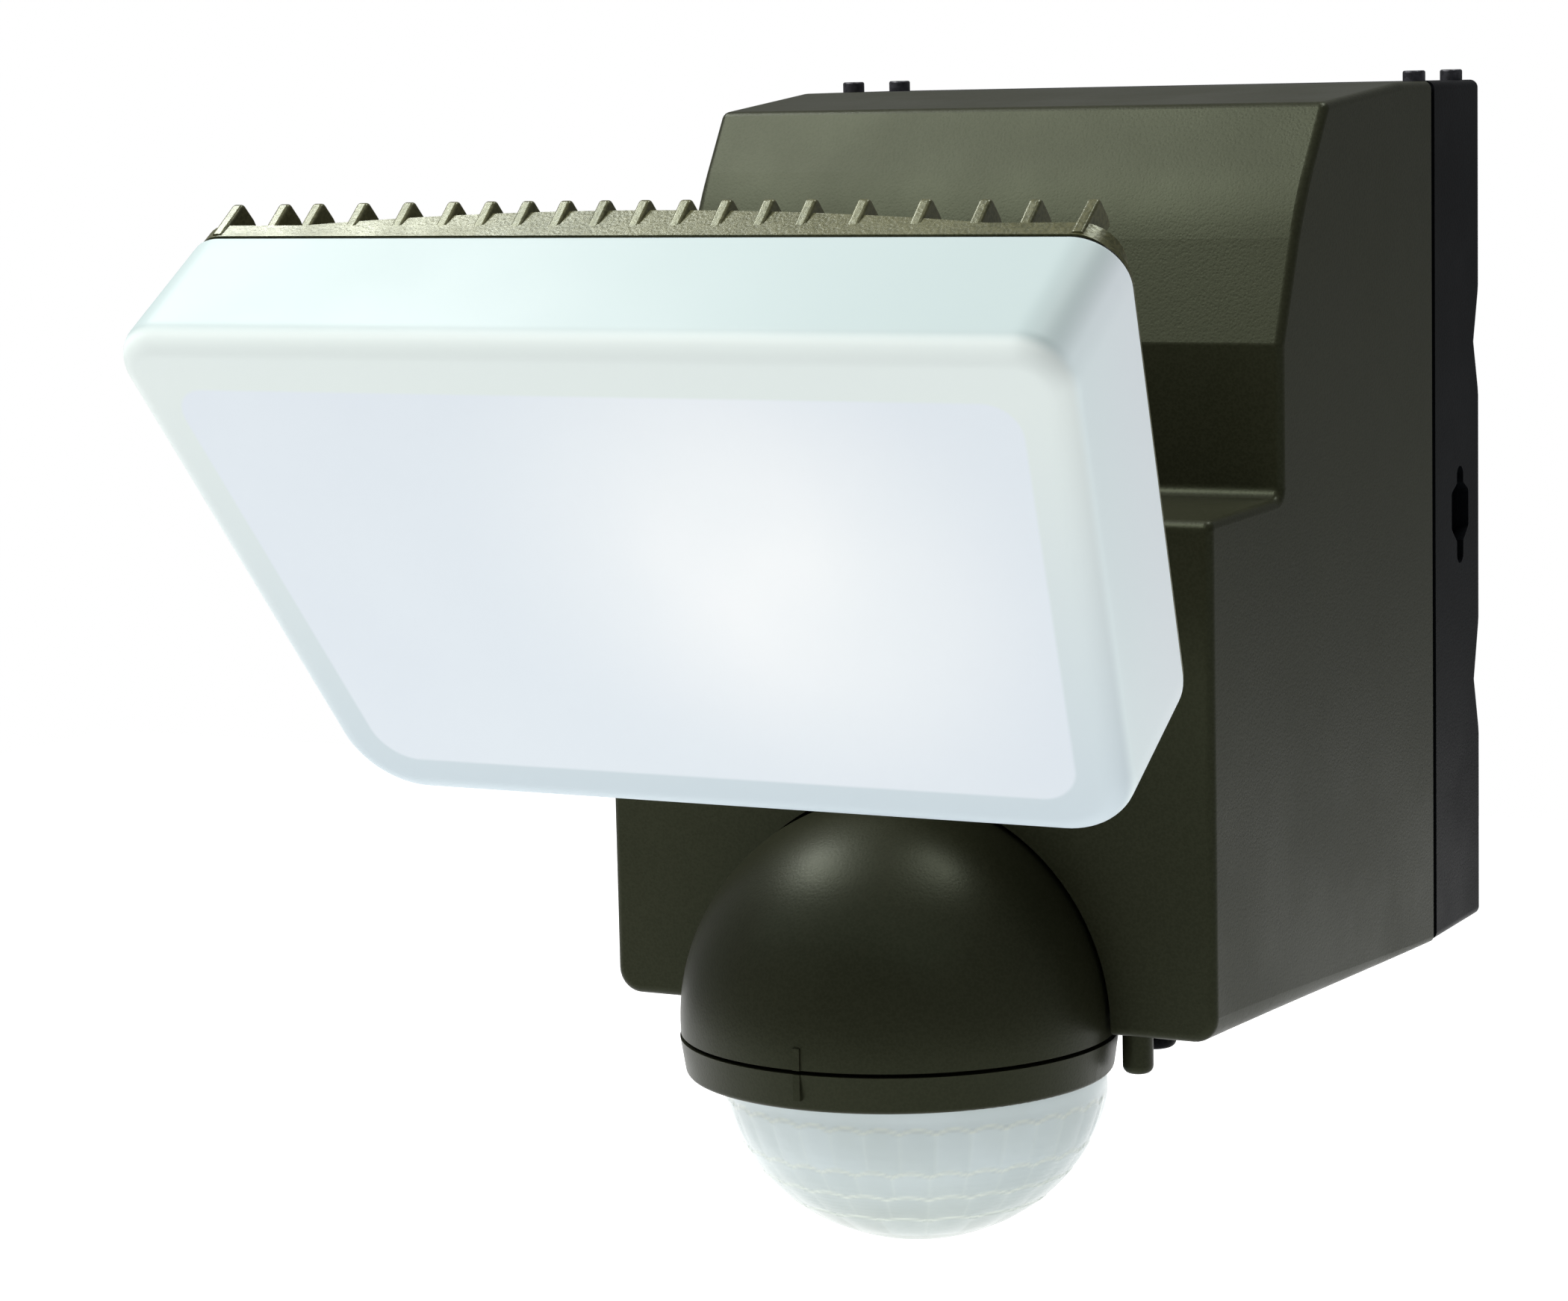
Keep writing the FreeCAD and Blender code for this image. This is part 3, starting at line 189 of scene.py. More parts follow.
# Moulded plastic or paint: slow patches of tone, a fine spark-eroded grain in the normal,
# lighter specks at the grain's tops, and a roughness that wanders with the patches.
def grainedLook(name, spec):
    look, tree, surface = newLook(name)
    place = objectPlace(tree)
    patches = noise(tree, place, spec["patchSize"], 4)
    grain = noise(tree, place, spec["grainSize"], 2, 0.6)
    pits = cells(tree, place, spec["grainSize"] * 1.7)
    tops = calc(tree, "MULTIPLY", grain, spread(tree, pits, 0.0, 0.6))
    colour = blend(tree, spread(tree, patches, 0.35, 0.65), spec["dark"], spec["light"])
    colour = blend(tree, spread(tree, tops, 0.3, 0.6, 0, spec["speckShare"]), colour, spec["speck"])
    rough = spread(tree, noise(tree, place, spec["patchSize"] * 0.35, 3), 0.3, 0.7,
                   spec["rough"][0], spec["rough"][1])
    normal = bump(tree, tops, spec["grainDepth"])
    normal = bump(tree, patches, spec["waveDepth"], normal)
    finishLook(tree, surface, colour, rough, normal, Metallic=spec.get("metal", 0.0),
               Specular_IOR_Level=spec.get("shine", 0.5),
               Specular_Tint=spec.get("shineTone", (1, 1, 1, 1)))
    return look


bronzePlastic = {
    "dark": tone(30, 31, 20), "light": tone(34, 35, 24), "speck": tone(46, 47, 35),
    "speckShare": 0.3, "patchSize": 0.06, "grainSize": 0.0004, "grainDepth": 0.00002,
    "waveDepth": 0.00002, "rough": (0.36, 0.42), "shine": 0.17,
    "shineTone": (0.88, 1.0, 0.66, 1),
}
bronzeCoat = {
    "dark": tone(60, 60, 37), "light": tone(72, 71, 45), "speck": tone(98, 96, 66),
    "speckShare": 0.35, "patchSize": 0.02, "grainSize": 0.0005, "grainDepth": 0.00003,
    "waveDepth": 0.00003, "rough": (0.30, 0.38), "shine": 0.45, "metal": 0.1,
    "shineTone": (0.9, 1.0, 0.78, 1),
}
armCoat = dict(bronzeCoat, dark=tone(58, 55, 44), light=tone(66, 63, 51), patchSize=0.012)
blackPlastic = {
    "dark": tone(8, 9, 11), "light": tone(10, 12, 14), "speck": tone(20, 22, 26),
    "speckShare": 0.25, "patchSize": 0.05, "grainSize": 0.0004, "grainDepth": 0.00002,
    "waveDepth": 0.00002, "rough": (0.36, 0.44), "shine": 0.04,
}
whitePlastic = {
    "dark": tone(226, 226, 222), "light": tone(236, 236, 233), "speck": tone(246, 246, 244),
    "speckShare": 0.3, "patchSize": 0.03, "grainSize": 0.0005, "grainDepth": 0.00003,
    "waveDepth": 0.0001, "rough": (0.35, 0.5), "shine": 0.5,
}
chipPlastic = dict(blackPlastic, dark=tone(28, 28, 29), light=tone(34, 34, 35), patchSize=0.006,
                   grainSize=0.0002, grainDepth=0.00002)
sealRubber = {
    "dark": tone(30, 31, 36), "light": tone(40, 41, 47), "speck": tone(60, 61, 66),
    "speckShare": 0.25, "patchSize": 0.01, "grainSize": 0.0003, "grainDepth": 0.00003,
    "waveDepth": 0.0001, "rough": (0.7, 0.85), "shine": 0.3,
}


# Rolled and plated steel: long rolling lines from noise stretched along X, crystal patches of
# the plating from cells, and both in the roughness.
def steelLook(name, spec):
    look, tree, surface = newLook(name)
    place = objectPlace(tree)
    lines = noise(tree, objectPlace(tree, (30, 900, 900)), 1.0, 4, 0.6)
    crystals = cells(tree, place, spec["crystal"], output="Color")
    grey = shaderNode(tree, "SeparateColor", {"Color": crystals}).outputs[0]
    colour = blend(tree, spread(tree, grey, 0.1, 0.9), spec["dark"], spec["light"])
    colour = blend(tree, spread(tree, lines, 0.35, 0.7, 0, 0.3), colour, spec["line"])
    rough = calc(tree, "ADD", spread(tree, grey, 0, 1, spec["rough"][0], spec["rough"][1]),
                 spread(tree, lines, 0.3, 0.7, -0.05, 0.05))
    finishLook(tree, surface, colour, rough, bump(tree, lines, 0.00001),
               Metallic=spec["metal"], Specular_IOR_Level=0.5)
    return look


zincSteel = {"dark": tone(176, 178, 180), "light": tone(206, 208, 210), "line": tone(150, 152, 156),
             "crystal": 0.0022, "rough": (0.28, 0.42), "metal": 0.9}
blackSteel = {"dark": tone(36, 36, 40), "light": tone(48, 48, 53), "line": tone(70, 70, 76),
              "crystal": 0.0006, "rough": (0.35, 0.5), "metal": 0.5}
canMetal = {"dark": tone(52, 60, 84), "light": tone(66, 74, 98), "line": tone(120, 126, 140),
            "crystal": 0.004, "rough": (0.3, 0.4), "metal": 0.2}


# Cell sleeve: a copper band at one end of each cell over a dark sleeve, by height along Z,
# with fine rings from a stretched noise.
def sleeveLook(spec):
    look, tree, surface = newLook("cellSleeve")
    place = objectPlace(tree)
    height = shaderNode(tree, "SeparateXYZ", {"Vector": place}).outputs["Z"]
    along = calc(tree, "MODULO", calc(tree, "ADD", height, 0.2), spec["length"])
    band = calc(tree, "GREATER_THAN", along, spec["bandFrom"])
    rings = noise(tree, objectPlace(tree, (60, 60, 900)), 1.0, 3)
    colour = blend(tree, band, spec["sleeve"], spec["copper"])
    colour = blend(tree, spread(tree, rings, 0.4, 0.7, 0, 0.25), colour, spec["ring"])
    rough = spread(tree, rings, 0.3, 0.7, 0.25, 0.38)
    finishLook(tree, surface, colour, rough, bump(tree, rings, 0.00001), Metallic=0.6)
    return look


cellSleeve = {"length": 0.0645, "bandFrom": 0.047, "sleeve": tone(40, 40, 44),
              "copper": tone(176, 122, 74), "ring": tone(90, 84, 78)}


# Solder mask: board colour with paler tracks where cell edges of a blocky pattern run, plus
# tinned pads at the centres of a sparse pattern.
def boardLook(name, spec):
    look, tree, surface = newLook(name)
    place = objectPlace(tree)
    tracks = shaderNode(tree, "TexVoronoi", {"Vector": place, "Scale": 1 / spec["track"]},
                        feature="F2", distance="MANHATTAN").outputs["Distance"]
    lines = calc(tree, "PINGPONG", tracks, 0.12)
    pads = cells(tree, place, spec["pad"])
    colour = blend(tree, spread(tree, lines, 0.02, 0.05), spec["trackTone"], spec["mask"])
    colour = blend(tree, spread(tree, pads, 0.16, 0.12), colour, spec["padTone"])
    colour = blend(tree, spread(tree, noise(tree, place, 0.01, 4), 0.3, 0.7, 0, 0.2), colour,
                   spec["haze"])
    rough = spread(tree, pads, 0.12, 0.2, 0.25, 0.42)
    finishLook(tree, surface, colour, rough, bump(tree, lines, 0.00003), Specular_IOR_Level=0.5)
    return look


greenBoard = {"track": 0.006, "pad": 0.005, "mask": tone(22, 74, 42), "trackTone": tone(40, 104, 62),
              "padTone": tone(190, 186, 170), "haze": tone(30, 84, 52)}
whiteBoard = {"track": 0.012, "pad": 0.01, "mask": tone(236, 236, 231),
              "trackTone": tone(222, 222, 216), "padTone": tone(206, 202, 190),
              "haze": tone(228, 229, 226)}


# Light-emitting chip: round phosphor in a white case. The chips stand on a pitch, so the
# distance to the nearest centre is the length of each coordinate's remainder.
def chipLook(spec):
    look, tree, surface = newLook("ledYellow")
    axes = shaderNode(tree, "SeparateXYZ", {"Vector": headPlace(tree)})
    acrossX = calc(tree, "SUBTRACT", calc(tree, "MODULO", calc(
        tree, "ADD", axes.outputs["X"], 10 * spec["pitchX"]), spec["pitchX"]), spec["pitchX"] / 2)
    acrossZ = calc(tree, "SUBTRACT", calc(tree, "MODULO", calc(
        tree, "ADD", axes.outputs["Z"], spec["shiftZ"]), spec["pitchZ"]), spec["pitchZ"] / 2)
    reach = calc(tree, "SQRT", calc(tree, "ADD", calc(tree, "MULTIPLY", acrossX, acrossX),
                                    calc(tree, "MULTIPLY", acrossZ, acrossZ)))
    grain = noise(tree, headPlace(tree), 0.0004, 2)
    colour = blend(tree, spread(tree, reach, 0.00125, 0.00115), spec["case"], spec["phosphor"])
    colour = blend(tree, spread(tree, grain, 0.4, 0.7, 0, 0.2), colour, spec["speck"])
    finishLook(tree, surface, colour, spread(tree, grain, 0.3, 0.7, 0.3, 0.45),
               bump(tree, grain, 0.00002))
    return look


ledChip = {"pitchX": 0.014, "pitchZ": 0.018, "shiftZ": 0.039 + 0.009 + 0.09,
           "case": tone(238, 238, 234), "phosphor": tone(236, 200, 84), "speck": tone(248, 224, 140)}


# Opal tray: a milky wall over a lit panel. The panel is a rounded trapezoid, found with the
# distance to a box whose half width narrows downwards; inside it the tone goes from lavender to
# a warmer glow round one point, and outside it the border runs from warm white at the top, painted
# light, to cool grey at the bottom, painted shade. The top wall is painted darker, shade laid against
# the light that falls on it. Each tone also gives the faint light of its own.
def opalLook(spec):
    look, tree, surface = newLook("opalLens")
    place = headPlace(tree)
    axes = shaderNode(tree, "SeparateXYZ", {"Vector": place})
    x, y, z = (axes.outputs[i] for i in range(3))
    r = spec["panelRound"]
    half = calc(tree, "MULTIPLY_ADD", z, spec["panelSlant"], spec["panelHalf"] - r)
    sideways = calc(tree, "SUBTRACT", calc(tree, "ABSOLUTE", x), half)
    upwards = calc(tree, "SUBTRACT", calc(tree, "ABSOLUTE", calc(
        tree, "SUBTRACT", z, spec["panelMiddle"])), spec["panelTall"] - r)
    outX = calc(tree, "MAXIMUM", sideways, 0.0)
    outZ = calc(tree, "MAXIMUM", upwards, 0.0)
    outside = calc(tree, "SQRT", calc(tree, "ADD", calc(tree, "MULTIPLY", outX, outX),
                                      calc(tree, "MULTIPLY", outZ, outZ)))
    inside = calc(tree, "MINIMUM", calc(tree, "MAXIMUM", sideways, upwards), 0.0)
    reach = calc(tree, "SUBTRACT", calc(tree, "ADD", outside, inside), r)
    panel = spread(tree, reach, spec["panelBlur"], -spec["panelBlur"])
    front = spread(tree, y, 0.0035, 0.0015)
    lit = calc(tree, "MULTIPLY", panel, front)

    cloud = noise(tree, place, 0.05, 2)
    # painted shade: the border darkens from its lit top to its downward-facing bottom
    borderShadeFall = spread(tree, z, 0.0, head["bottom"], smooth=False)
    border = blend(tree, borderShadeFall, spec["borderTopLight"], spec["borderLowShade"])
    wall = blend(tree, spread(tree, y, 0.003, 0.024, smooth=False), spec["wallFront"], spec["wallRear"])
    # painted shade: the tray's top wall is darkened against the light that falls on it
    wall = blend(tree, spread(tree, z, 0.005, 0.0095), wall, spec["wallTopShade"])
    shell = blend(tree, front, wall, border)
    glowX = calc(tree, "SUBTRACT", x, spec["glowAt"][0])
    glowZ = calc(tree, "SUBTRACT", z, spec["glowAt"][1])
    glowReach = calc(tree, "SQRT", calc(tree, "ADD", calc(tree, "MULTIPLY", glowX, glowX),
                                        calc(tree, "MULTIPLY", glowZ, glowZ)))
    glow = spread(tree, glowReach, spec["glowSize"], 0.0)
    inner = blend(tree, glow, spec["panelEdge"], spec["panelGlow"])
    inner = blend(tree, spread(tree, cloud, 0.35, 0.65, 0, 0.35), inner, spec["panelCloud"])
    colour = blend(tree, lit, shell, inner)

    fine = noise(tree, place, 0.0006, 2)
    rough = calc(tree, "ADD", spread(tree, cloud, 0.3, 0.7, spec["rough"][0], spec["rough"][1]),
                 spread(tree, fine, 0.3, 0.7, -0.01, 0.01))
    normal = bump(tree, cloud, 0.00015)
    finishLook(tree, surface, colour, rough, normal, Emission_Strength=spec["ownLight"],
               Specular_IOR_Level=spec["shine"])
    tree.links.new(colour, surface.inputs["Emission Color"])
    return look


opalTray = {
    "panelHalf": 0.075, "panelSlant": 11 / 78.1, "panelMiddle": -0.03905, "panelTall": 0.03905,
    "panelRound": 0.0065, "panelBlur": 0.0004,
    "glowAt": (0.022, -0.033), "glowSize": 0.058,
    "panelEdge": tone(204, 211, 218), "panelGlow": tone(228, 230, 231),
    "panelCloud": tone(210, 217, 222),
    "borderTopLight": tone(206, 214, 212), "borderLowShade": tone(184, 196, 203),
    "wallFront": tone(212, 224, 226), "wallRear": tone(214, 222, 226),
    "wallTopShade": tone(158, 171, 171),
    "rough": (0.40, 0.48), "shine": 0.16, "ownLight": 0.2,
}


# Sensor dome: milky plastic. The piece's own attributes say how near a point is to a facet's
# edge, where a lighter painted highlight line is laid, and which tone its facet has. The lower part
# is painted shade, and the colour also goes out as a faint painted glow, though the dome is no lamp.
def domeLook(spec):
    look, tree, surface = newLook("sensorLens")
    place = objectPlace(tree)
    edge = shaderNode(tree, "Attribute", attribute_name="facetEdgeHighlight").outputs["Fac"]
    cell = shaderNode(tree, "Attribute", attribute_name="facetTone").outputs["Fac"]
    haze = noise(tree, place, 0.012, 3)
    height = shaderNode(tree, "SeparateXYZ", {"Vector": place}).outputs["Z"]
    # painted shade: darker towards the bottom, against the floor's light from below
    low = spread(tree, height, spec["bandFrom"], spec["bandTo"])
    colour = blend(tree, low, spec["upper"], spec["lower"])
    colour = blend(tree, calc(tree, "MULTIPLY", cell, 0.5), colour, spec["cellTone"])
    colour = blend(tree, spread(tree, haze, 0.3, 0.7, 0, 0.3), colour, spec["haze"])
    # painted highlight: lighter lines along the facet edges
    colour = blend(tree, calc(tree, "MULTIPLY", edge, 0.75), colour, spec["edge"])
    rings = shaderNode(tree, "TexWave", {"Vector": objectPlace(tree, (1, 1, 1), spec["ringShift"]),
                                         "Scale": 420.0, "Distortion": 0.0},
                       wave_type="RINGS", rings_direction="Z").outputs["Fac"]
    rough = spread(tree, haze, 0.3, 0.7, 0.16, 0.26)
    normal = bump(tree, rings, 0.00001)
    # painted glow: the dome's colour also goes out as faint light, though it is no lamp
    finishLook(tree, surface, colour, rough, normal, Emission_Strength=spec["ownLight"],
               Specular_IOR_Level=0.5)
    tree.links.new(colour, surface.inputs["Emission Color"])
    return look


domeFinish = {
    "bandFrom": -0.100, "bandTo": -0.118, "upper": tone(192, 204, 206), "lower": tone(148, 158, 152),
    "cellTone": tone(176, 188, 188), "haze": tone(182, 193, 190), "edge": tone(222, 230, 220),
    "ringShift": (0, 0.1213, 0), "ownLight": 0.1,
}

looks = {
    "bronze_plastic": grainedLook("bronzePlastic", bronzePlastic),
    "black_plastic": grainedLook("blackPlastic", blackPlastic),
    "bronze_arm": grainedLook("armCoat", armCoat),
    "heat_sink_metal": grainedLook("heatSinkCoat", bronzeCoat),
    "opal_lens": opalLook(opalTray),
    "sensor_lens": domeLook(domeFinish),
    "seal_rubber": grainedLook("sealRubber", sealRubber),
    "zinc_steel": steelLook("zincSteel", zincSteel),
    "black_steel": steelLook("blackSteel", blackSteel),
    "cell_sleeve": sleeveLook(cellSleeve),
    "circuit_board": boardLook("greenBoard", greenBoard),
    "white_board": boardLook("whiteBoard", whiteBoard),
    "component_black": grainedLook("chipPlastic", chipPlastic),
    "component_can": steelLook("canMetal", canMetal),
    "white_tray": grainedLook("whitePlastic", whitePlastic),
    "led_yellow": chipLook(ledChip),
}
print("finishes made:", len(looks))

for part in frame["record"]["subparts"]:
    mesh = frame["nodes"][part["node"]].data
    mesh.materials.clear()
    mesh.materials.append(looks[part["material_slot"]])
print("finishes put on the nodes")


dome = {
    "centre": (0.0, -0.1213, -0.0888), "radius": 0.0348, "drop": 0.0322, "wall": 0.0012,
    "cutAt": -0.128, "cutRadius": 0.0364, "neck": 0.0020, "flange": 0.0009, "flangeTop": 0.0034,
    "screwAt": (0.0269, -0.1471), "screwClear": 0.0025,
    "columns": 480, "rows": 112, "innerRows": 18,
    "facetHalf": 100.0,          # degrees each side of the front that carry facets
    "rowTops": (10.5, 26.0, 36.0, 47.5, 62.0),   # degrees below the rim
    "rowCells": (34, 30, 24, 18),               # facets in a full turn
    "scallop": (1.6, 1.6, 1.3, 1.0), "bulge": 0.00010, "step": 0.00022,
    "fade": 1.2,                 # degrees over which the facets end at their two sides
    "ledgeFall": 2.2,            # degrees below a line over which its step dies away
    "lineHalf": 0.30, "uprightHalf": 0.35,       # mm from a line or upright to where its painted highlight fades
    "uprightShare": 0.12,        # how strongly an upright's painted highlight shows beside a line
    "degreeLength": 0.58,        # about the mm along the skin for one degree of drop
    "nearLine": 0.9,             # degrees above a line that still get its painted highlight
    "rimHalf": 0.9, "rimRows": (9, 60),          # degrees: the painted highlight line where the facets end
    "toneTurn": (7.3, 2.1),      # spreads the facets' tones from cell to cell and row to row
    "calmPole": (88, 12), "calmRim": (3, 4),     # degrees: where the relief starts and over how many
    "poleDip": 2e-5,             # how far the pole's point stands above the ellipse's foot
}


# Radius at each turn: the round one, held back where the ring's bore or a screw boss stands
def domeReach(turn, radius, clearScrews):
    cx, cy = dome["centre"][:2]
    dx, dy = np.sin(turn), -np.cos(turn)
    ahead = cy - dome["cutAt"]
    along = -dy * ahead
    cut = along + np.sqrt(dome["cutRadius"] ** 2 - ahead ** 2 + along ** 2)
    reach = np.minimum(radius, cut)
    if clearScrews:
        for side in (1, -1):
            sx, sy = side * dome["screwAt"][0] - cx, dome["screwAt"][1] - cy
            near = sx * dx + sy * dy
            off = dome["screwClear"] ** 2 - (sx * sx + sy * sy - near ** 2)
            stop = near - np.sqrt(np.maximum(off, 0))
            reach = np.where((off > 0) & (near > 0), np.minimum(reach, stop), reach)
    return reach


# Facets: each row starts at a scalloped line, its drop angle less a sine arch for each facet.
# Inside a facet the skin swells as one minus the larger of the square of the distance across and
# the cube of the distance down from its middle, plus a step that dies away exponentially below
# the line. Returns the swelling, the closeness to an edge (laid on as a painted highlight line) and a
# tone.
def facetRelief(turn, drop):
    swell = np.zeros(np.broadcast(turn, drop).shape)
    edge = np.zeros_like(swell)
    shade = np.zeros_like(swell)
    degrees = np.degrees(drop)
    side = np.degrees(np.abs(np.arctan2(np.sin(turn), np.cos(turn))))
    within = np.clip((dome["facetHalf"] - side) / dome["fade"], 0, 1)
    girth = 2 * math.pi * dome["radius"] / mm
    for k, count in enumerate(dome["rowCells"]):
        position = turn * count / (2 * math.pi) + 0.5 * (k % 2)
        u = position - np.floor(position)
        arch = np.sin(math.pi * u) * dome["scallop"][k]
        top = dome["rowTops"][k] - arch
        following = dome["rowCells"][k + 1] if k + 1 < len(dome["rowCells"]) else 0
        nextPosition = turn * following / (2 * math.pi) + 0.5 * ((k + 1) % 2)
        nextArch = np.sin(math.pi * (nextPosition - np.floor(nextPosition)))
        nextArch = nextArch * dome["scallop"][min(k + 1, 3)] * (following > 0)
        foot = dome["rowTops"][k + 1] - nextArch
        v = (degrees - top) / (foot - top)
        inRow = (v >= 0) & (v < 1)
        ball = 1 - np.maximum(np.abs(2 * u - 1) ** 2, np.abs(2 * v - 1) ** 3)
        ledge = np.exp(-np.maximum(degrees - top, 0) / dome["ledgeFall"])
        swell = np.where(inRow, dome["bulge"] * ball + dome["step"] * ledge, swell)
        upright = np.exp(-((0.5 - np.abs(u - 0.5)) * girth / count / dome["uprightHalf"]) ** 2)
        line = np.exp(-((degrees - top) * dome["degreeLength"] / dome["lineHalf"]) ** 2)
        marked = inRow | (np.abs(degrees - top) < dome["nearLine"])
        edge = np.where(marked, np.maximum(dome["uprightShare"] * upright * inRow, line), edge)
        phase = dome["toneTurn"][0] * np.floor(position) + dome["toneTurn"][1] * k
        shade = np.where(inRow, 0.5 + 0.5 * np.sin(phase), shade)
    high, low = dome["rimRows"]
    rim = np.exp(-((side - dome["facetHalf"]) / dome["rimHalf"]) ** 2)
    rim = rim * (degrees > high) * (degrees < low)
    return swell * within, np.maximum(edge * within, rim), shade * within


# The dome is an ellipse turned about Z: radius times the cosine and depth times the sine of the
# drop angle. The outer skin is sunk by the relief's full height less the swelling, so the facets
# stay inside the ellipse. The inner skin is a smooth ellipse, one wall further in.
def makeDome():
    cx, cy, cz = dome["centre"]
    turn = np.linspace(0, 2 * math.pi, dome["columns"], endpoint=False) - math.pi
    turns = turn[None, :]

    def ring(radius, height, clearScrews=False):
        reach = domeReach(turn, radius, clearScrews)
        return np.stack([cx + reach * np.sin(turn), cy - reach * np.cos(turn),
                         np.full_like(turn, cz + height)], -1)[None]

    drop = np.radians(np.linspace(88.8, 0, dome["rows"]))[:, None]
    swell, edge, shade = facetRelief(turns, drop)
    sink = dome["bulge"] + dome["step"] - swell
    degrees = np.degrees(drop)
    rimFrom, rimOver = dome["calmRim"]
    poleFrom, poleOver = dome["calmPole"]
    sink = sink * np.clip((degrees - rimFrom) / rimOver, 0, 1)
    sink = sink * np.clip((poleFrom - degrees) / poleOver, 0, 1)
    radius = (dome["radius"] - sink) * np.cos(drop)
    reach = domeReach(np.broadcast_to(turns, radius.shape), radius, False)
    depth = (dome["drop"] - sink) * np.sin(drop)
    outer = np.stack([cx + reach * np.sin(turns), cy - reach * np.cos(turns),
                      cz - depth + 0 * turns], -1)
    full, wall = dome["radius"], dome["wall"]
    collar = [ring(full, dome["neck"]), ring(full + dome["flange"], dome["neck"], True),
              ring(full + dome["flange"], dome["flangeTop"], True),
              ring(full - wall, dome["flangeTop"])]
    back = np.radians(np.linspace(0, 88, dome["innerRows"]))[:, None]
    innerReach = domeReach(np.broadcast_to(turns, (len(back), turns.shape[1])),
                           (full - wall) * np.cos(back) + 0 * turns, False)
    innerReach = np.minimum(innerReach, domeReach(turn, 1.0, False)[None] - wall)
    inner = np.stack([cx + innerReach * np.sin(turns), cy - innerReach * np.cos(turns),
                      cz - (dome["drop"] - wall) * np.sin(back) + 0 * turns], -1)
    rings = np.concatenate([outer, *collar, inner])
    mesh = ringSkin("sensorDome", rings, (cx, cy, cz - dome["drop"] + dome["poleDip"]),
                    (cx, cy, cz - dome["drop"] + wall))
    rest = (len(rings) - dome["rows"]) * dome["columns"]
    for name, values in (("facetEdgeHighlight", edge), ("facetTone", shade)):
        kept = np.concatenate([[0], values.ravel(), np.zeros(rest + 1)])
        mesh.attributes.new(name, "FLOAT", "POINT").data.foreach_set("value", kept.astype(np.float32))
    return mesh


newPiece("sensorDome", makeDome(), "sensor", "sensor_lens", looks["sensor_lens"], "sensor_lens")
print("sensor dome made")


tray = {
    "cornerTop": 0.008, "cornerLow": 0.014, "front": 0.0042, "depth": 0.0266, "wall": 0.0025,
    "straight": 24, "corner": 18, "fillet": 14,
}


# Outline of the head: a trapezoid with rounded corners, as points and outward directions in X
# and Z. Each corner is an arc between its two sides' directions, and sides join the arcs.
def headOutline():
    slant = math.atan2(head["halfTop"] - head["halfBottom"], head["top"] - head["bottom"])
    corners = [(head["halfTop"], head["top"], tray["cornerTop"], -slant, math.pi / 2),
               (-head["halfTop"], head["top"], tray["cornerTop"], math.pi / 2, math.pi + slant),
               (-head["halfBottom"], head["bottom"], tray["cornerLow"],
                math.pi + slant, 1.5 * math.pi),
               (head["halfBottom"], head["bottom"], tray["cornerLow"],
                1.5 * math.pi, 2 * math.pi - slant)]
    points, directions = [], []
    for x, z, r, first, last in corners:
        a, b = np.array([math.cos(first), math.sin(first)]), np.array([math.cos(last), math.sin(last)])
        middle = np.array([x, z]) - r * (a + b) / (1 + a @ b)
        angles = np.linspace(first, last, tray["corner"])
        arc = np.stack([np.cos(angles), np.sin(angles)], -1)
        points.append(middle + r * arc)
        directions.append(arc)
    allPoints, allDirections = [], []
    for i in range(4):
        nextPoint = points[(i + 1) % 4][0]
        share = np.linspace(0, 1, tray["straight"] + 2)[1:-1, None]
        share = share * share * (3 - 2 * share)
        allPoints += [points[i], points[i][-1] + share * (nextPoint - points[i][-1])]
        allDirections += [directions[i], np.repeat(directions[i][-1:], tray["straight"], 0)]
    return np.concatenate(allPoints), np.concatenate(allDirections)


# The tray is the outline carried along a profile of (inset, depth): the flat front shrinks to the
# middle, a quarter circle turns into the side, and the inner skin runs a wall's thickness inside.
def makeTray():
    outline, outward = headOutline()
    middle = np.array([0.0, (head["top"] + head["bottom"]) / 2])

    def ring(inset, depth, shrink=1.0):
        flat = outline - outward * inset
        flat = middle + (flat - middle) * shrink
        return np.stack([flat[:, 0], np.full(len(flat), depth), flat[:, 1]], -1)

    r, wall = tray["front"], tray["wall"]
    rings = [ring(r + 0.0002, 0, s) for s in (0.02, 0.15, 0.3, 0.45, 0.6, 0.75, 0.88, 0.96, 1.0)]
    for angle in np.linspace(0, math.pi / 2, tray["fillet"]):
        rings.append(ring(r - r * math.sin(angle), r - r * math.cos(angle)))
    for depth in (r + 0.0003, 0.010, 0.016, 0.022, tray["depth"] - 0.0006, tray["depth"] - 0.0003):
        rings.append(ring(0, depth))
    rings += [ring(0.0001, tray["depth"] - 0.0001), ring(0.0004, tray["depth"]),
              ring(wall - 0.0001, tray["depth"]), ring(wall, tray["depth"] - 0.0003)]
    rings += [ring(wall, d) for d in (0.020, 0.012, r)]
    for angle in np.linspace(math.pi / 2, 0, 6)[1:]:
        q = r - wall
        rings.append(ring(wall + q - q * math.sin(angle), wall + q - q * math.cos(angle)))
    rings += [ring(r + 0.0002, wall, s) for s in (1.0, 0.8, 0.5, 0.2, 0.02)]
    places = headToRow(np.stack(rings).reshape(-1, 3)).reshape(len(rings), -1, 3)
    poles = headToRow(np.array([[middle[0], 0, middle[1]], [middle[0], wall, middle[1]]]))
    return ringSkin("opalTray", places, poles[0], poles[1])


newPiece("opalTray", makeTray(), "head", "opal_lens", looks["opal_lens"], "head_lens")
print("opal tray made")


dial = {
    "place": (0.0395, -0.107), "radius": 0.0040, "low": -0.0863, "high": -0.0811, "round": 0.0013,
    "slotHalf": (0.0029, 0.0005), "slotDepth": 0.0012, "ribs": 24, "ribDepth": 0.00012,
    "columns": 192, "faceRows": 44, "shaft": 0.0015, "shaftTop": -0.0742,
}


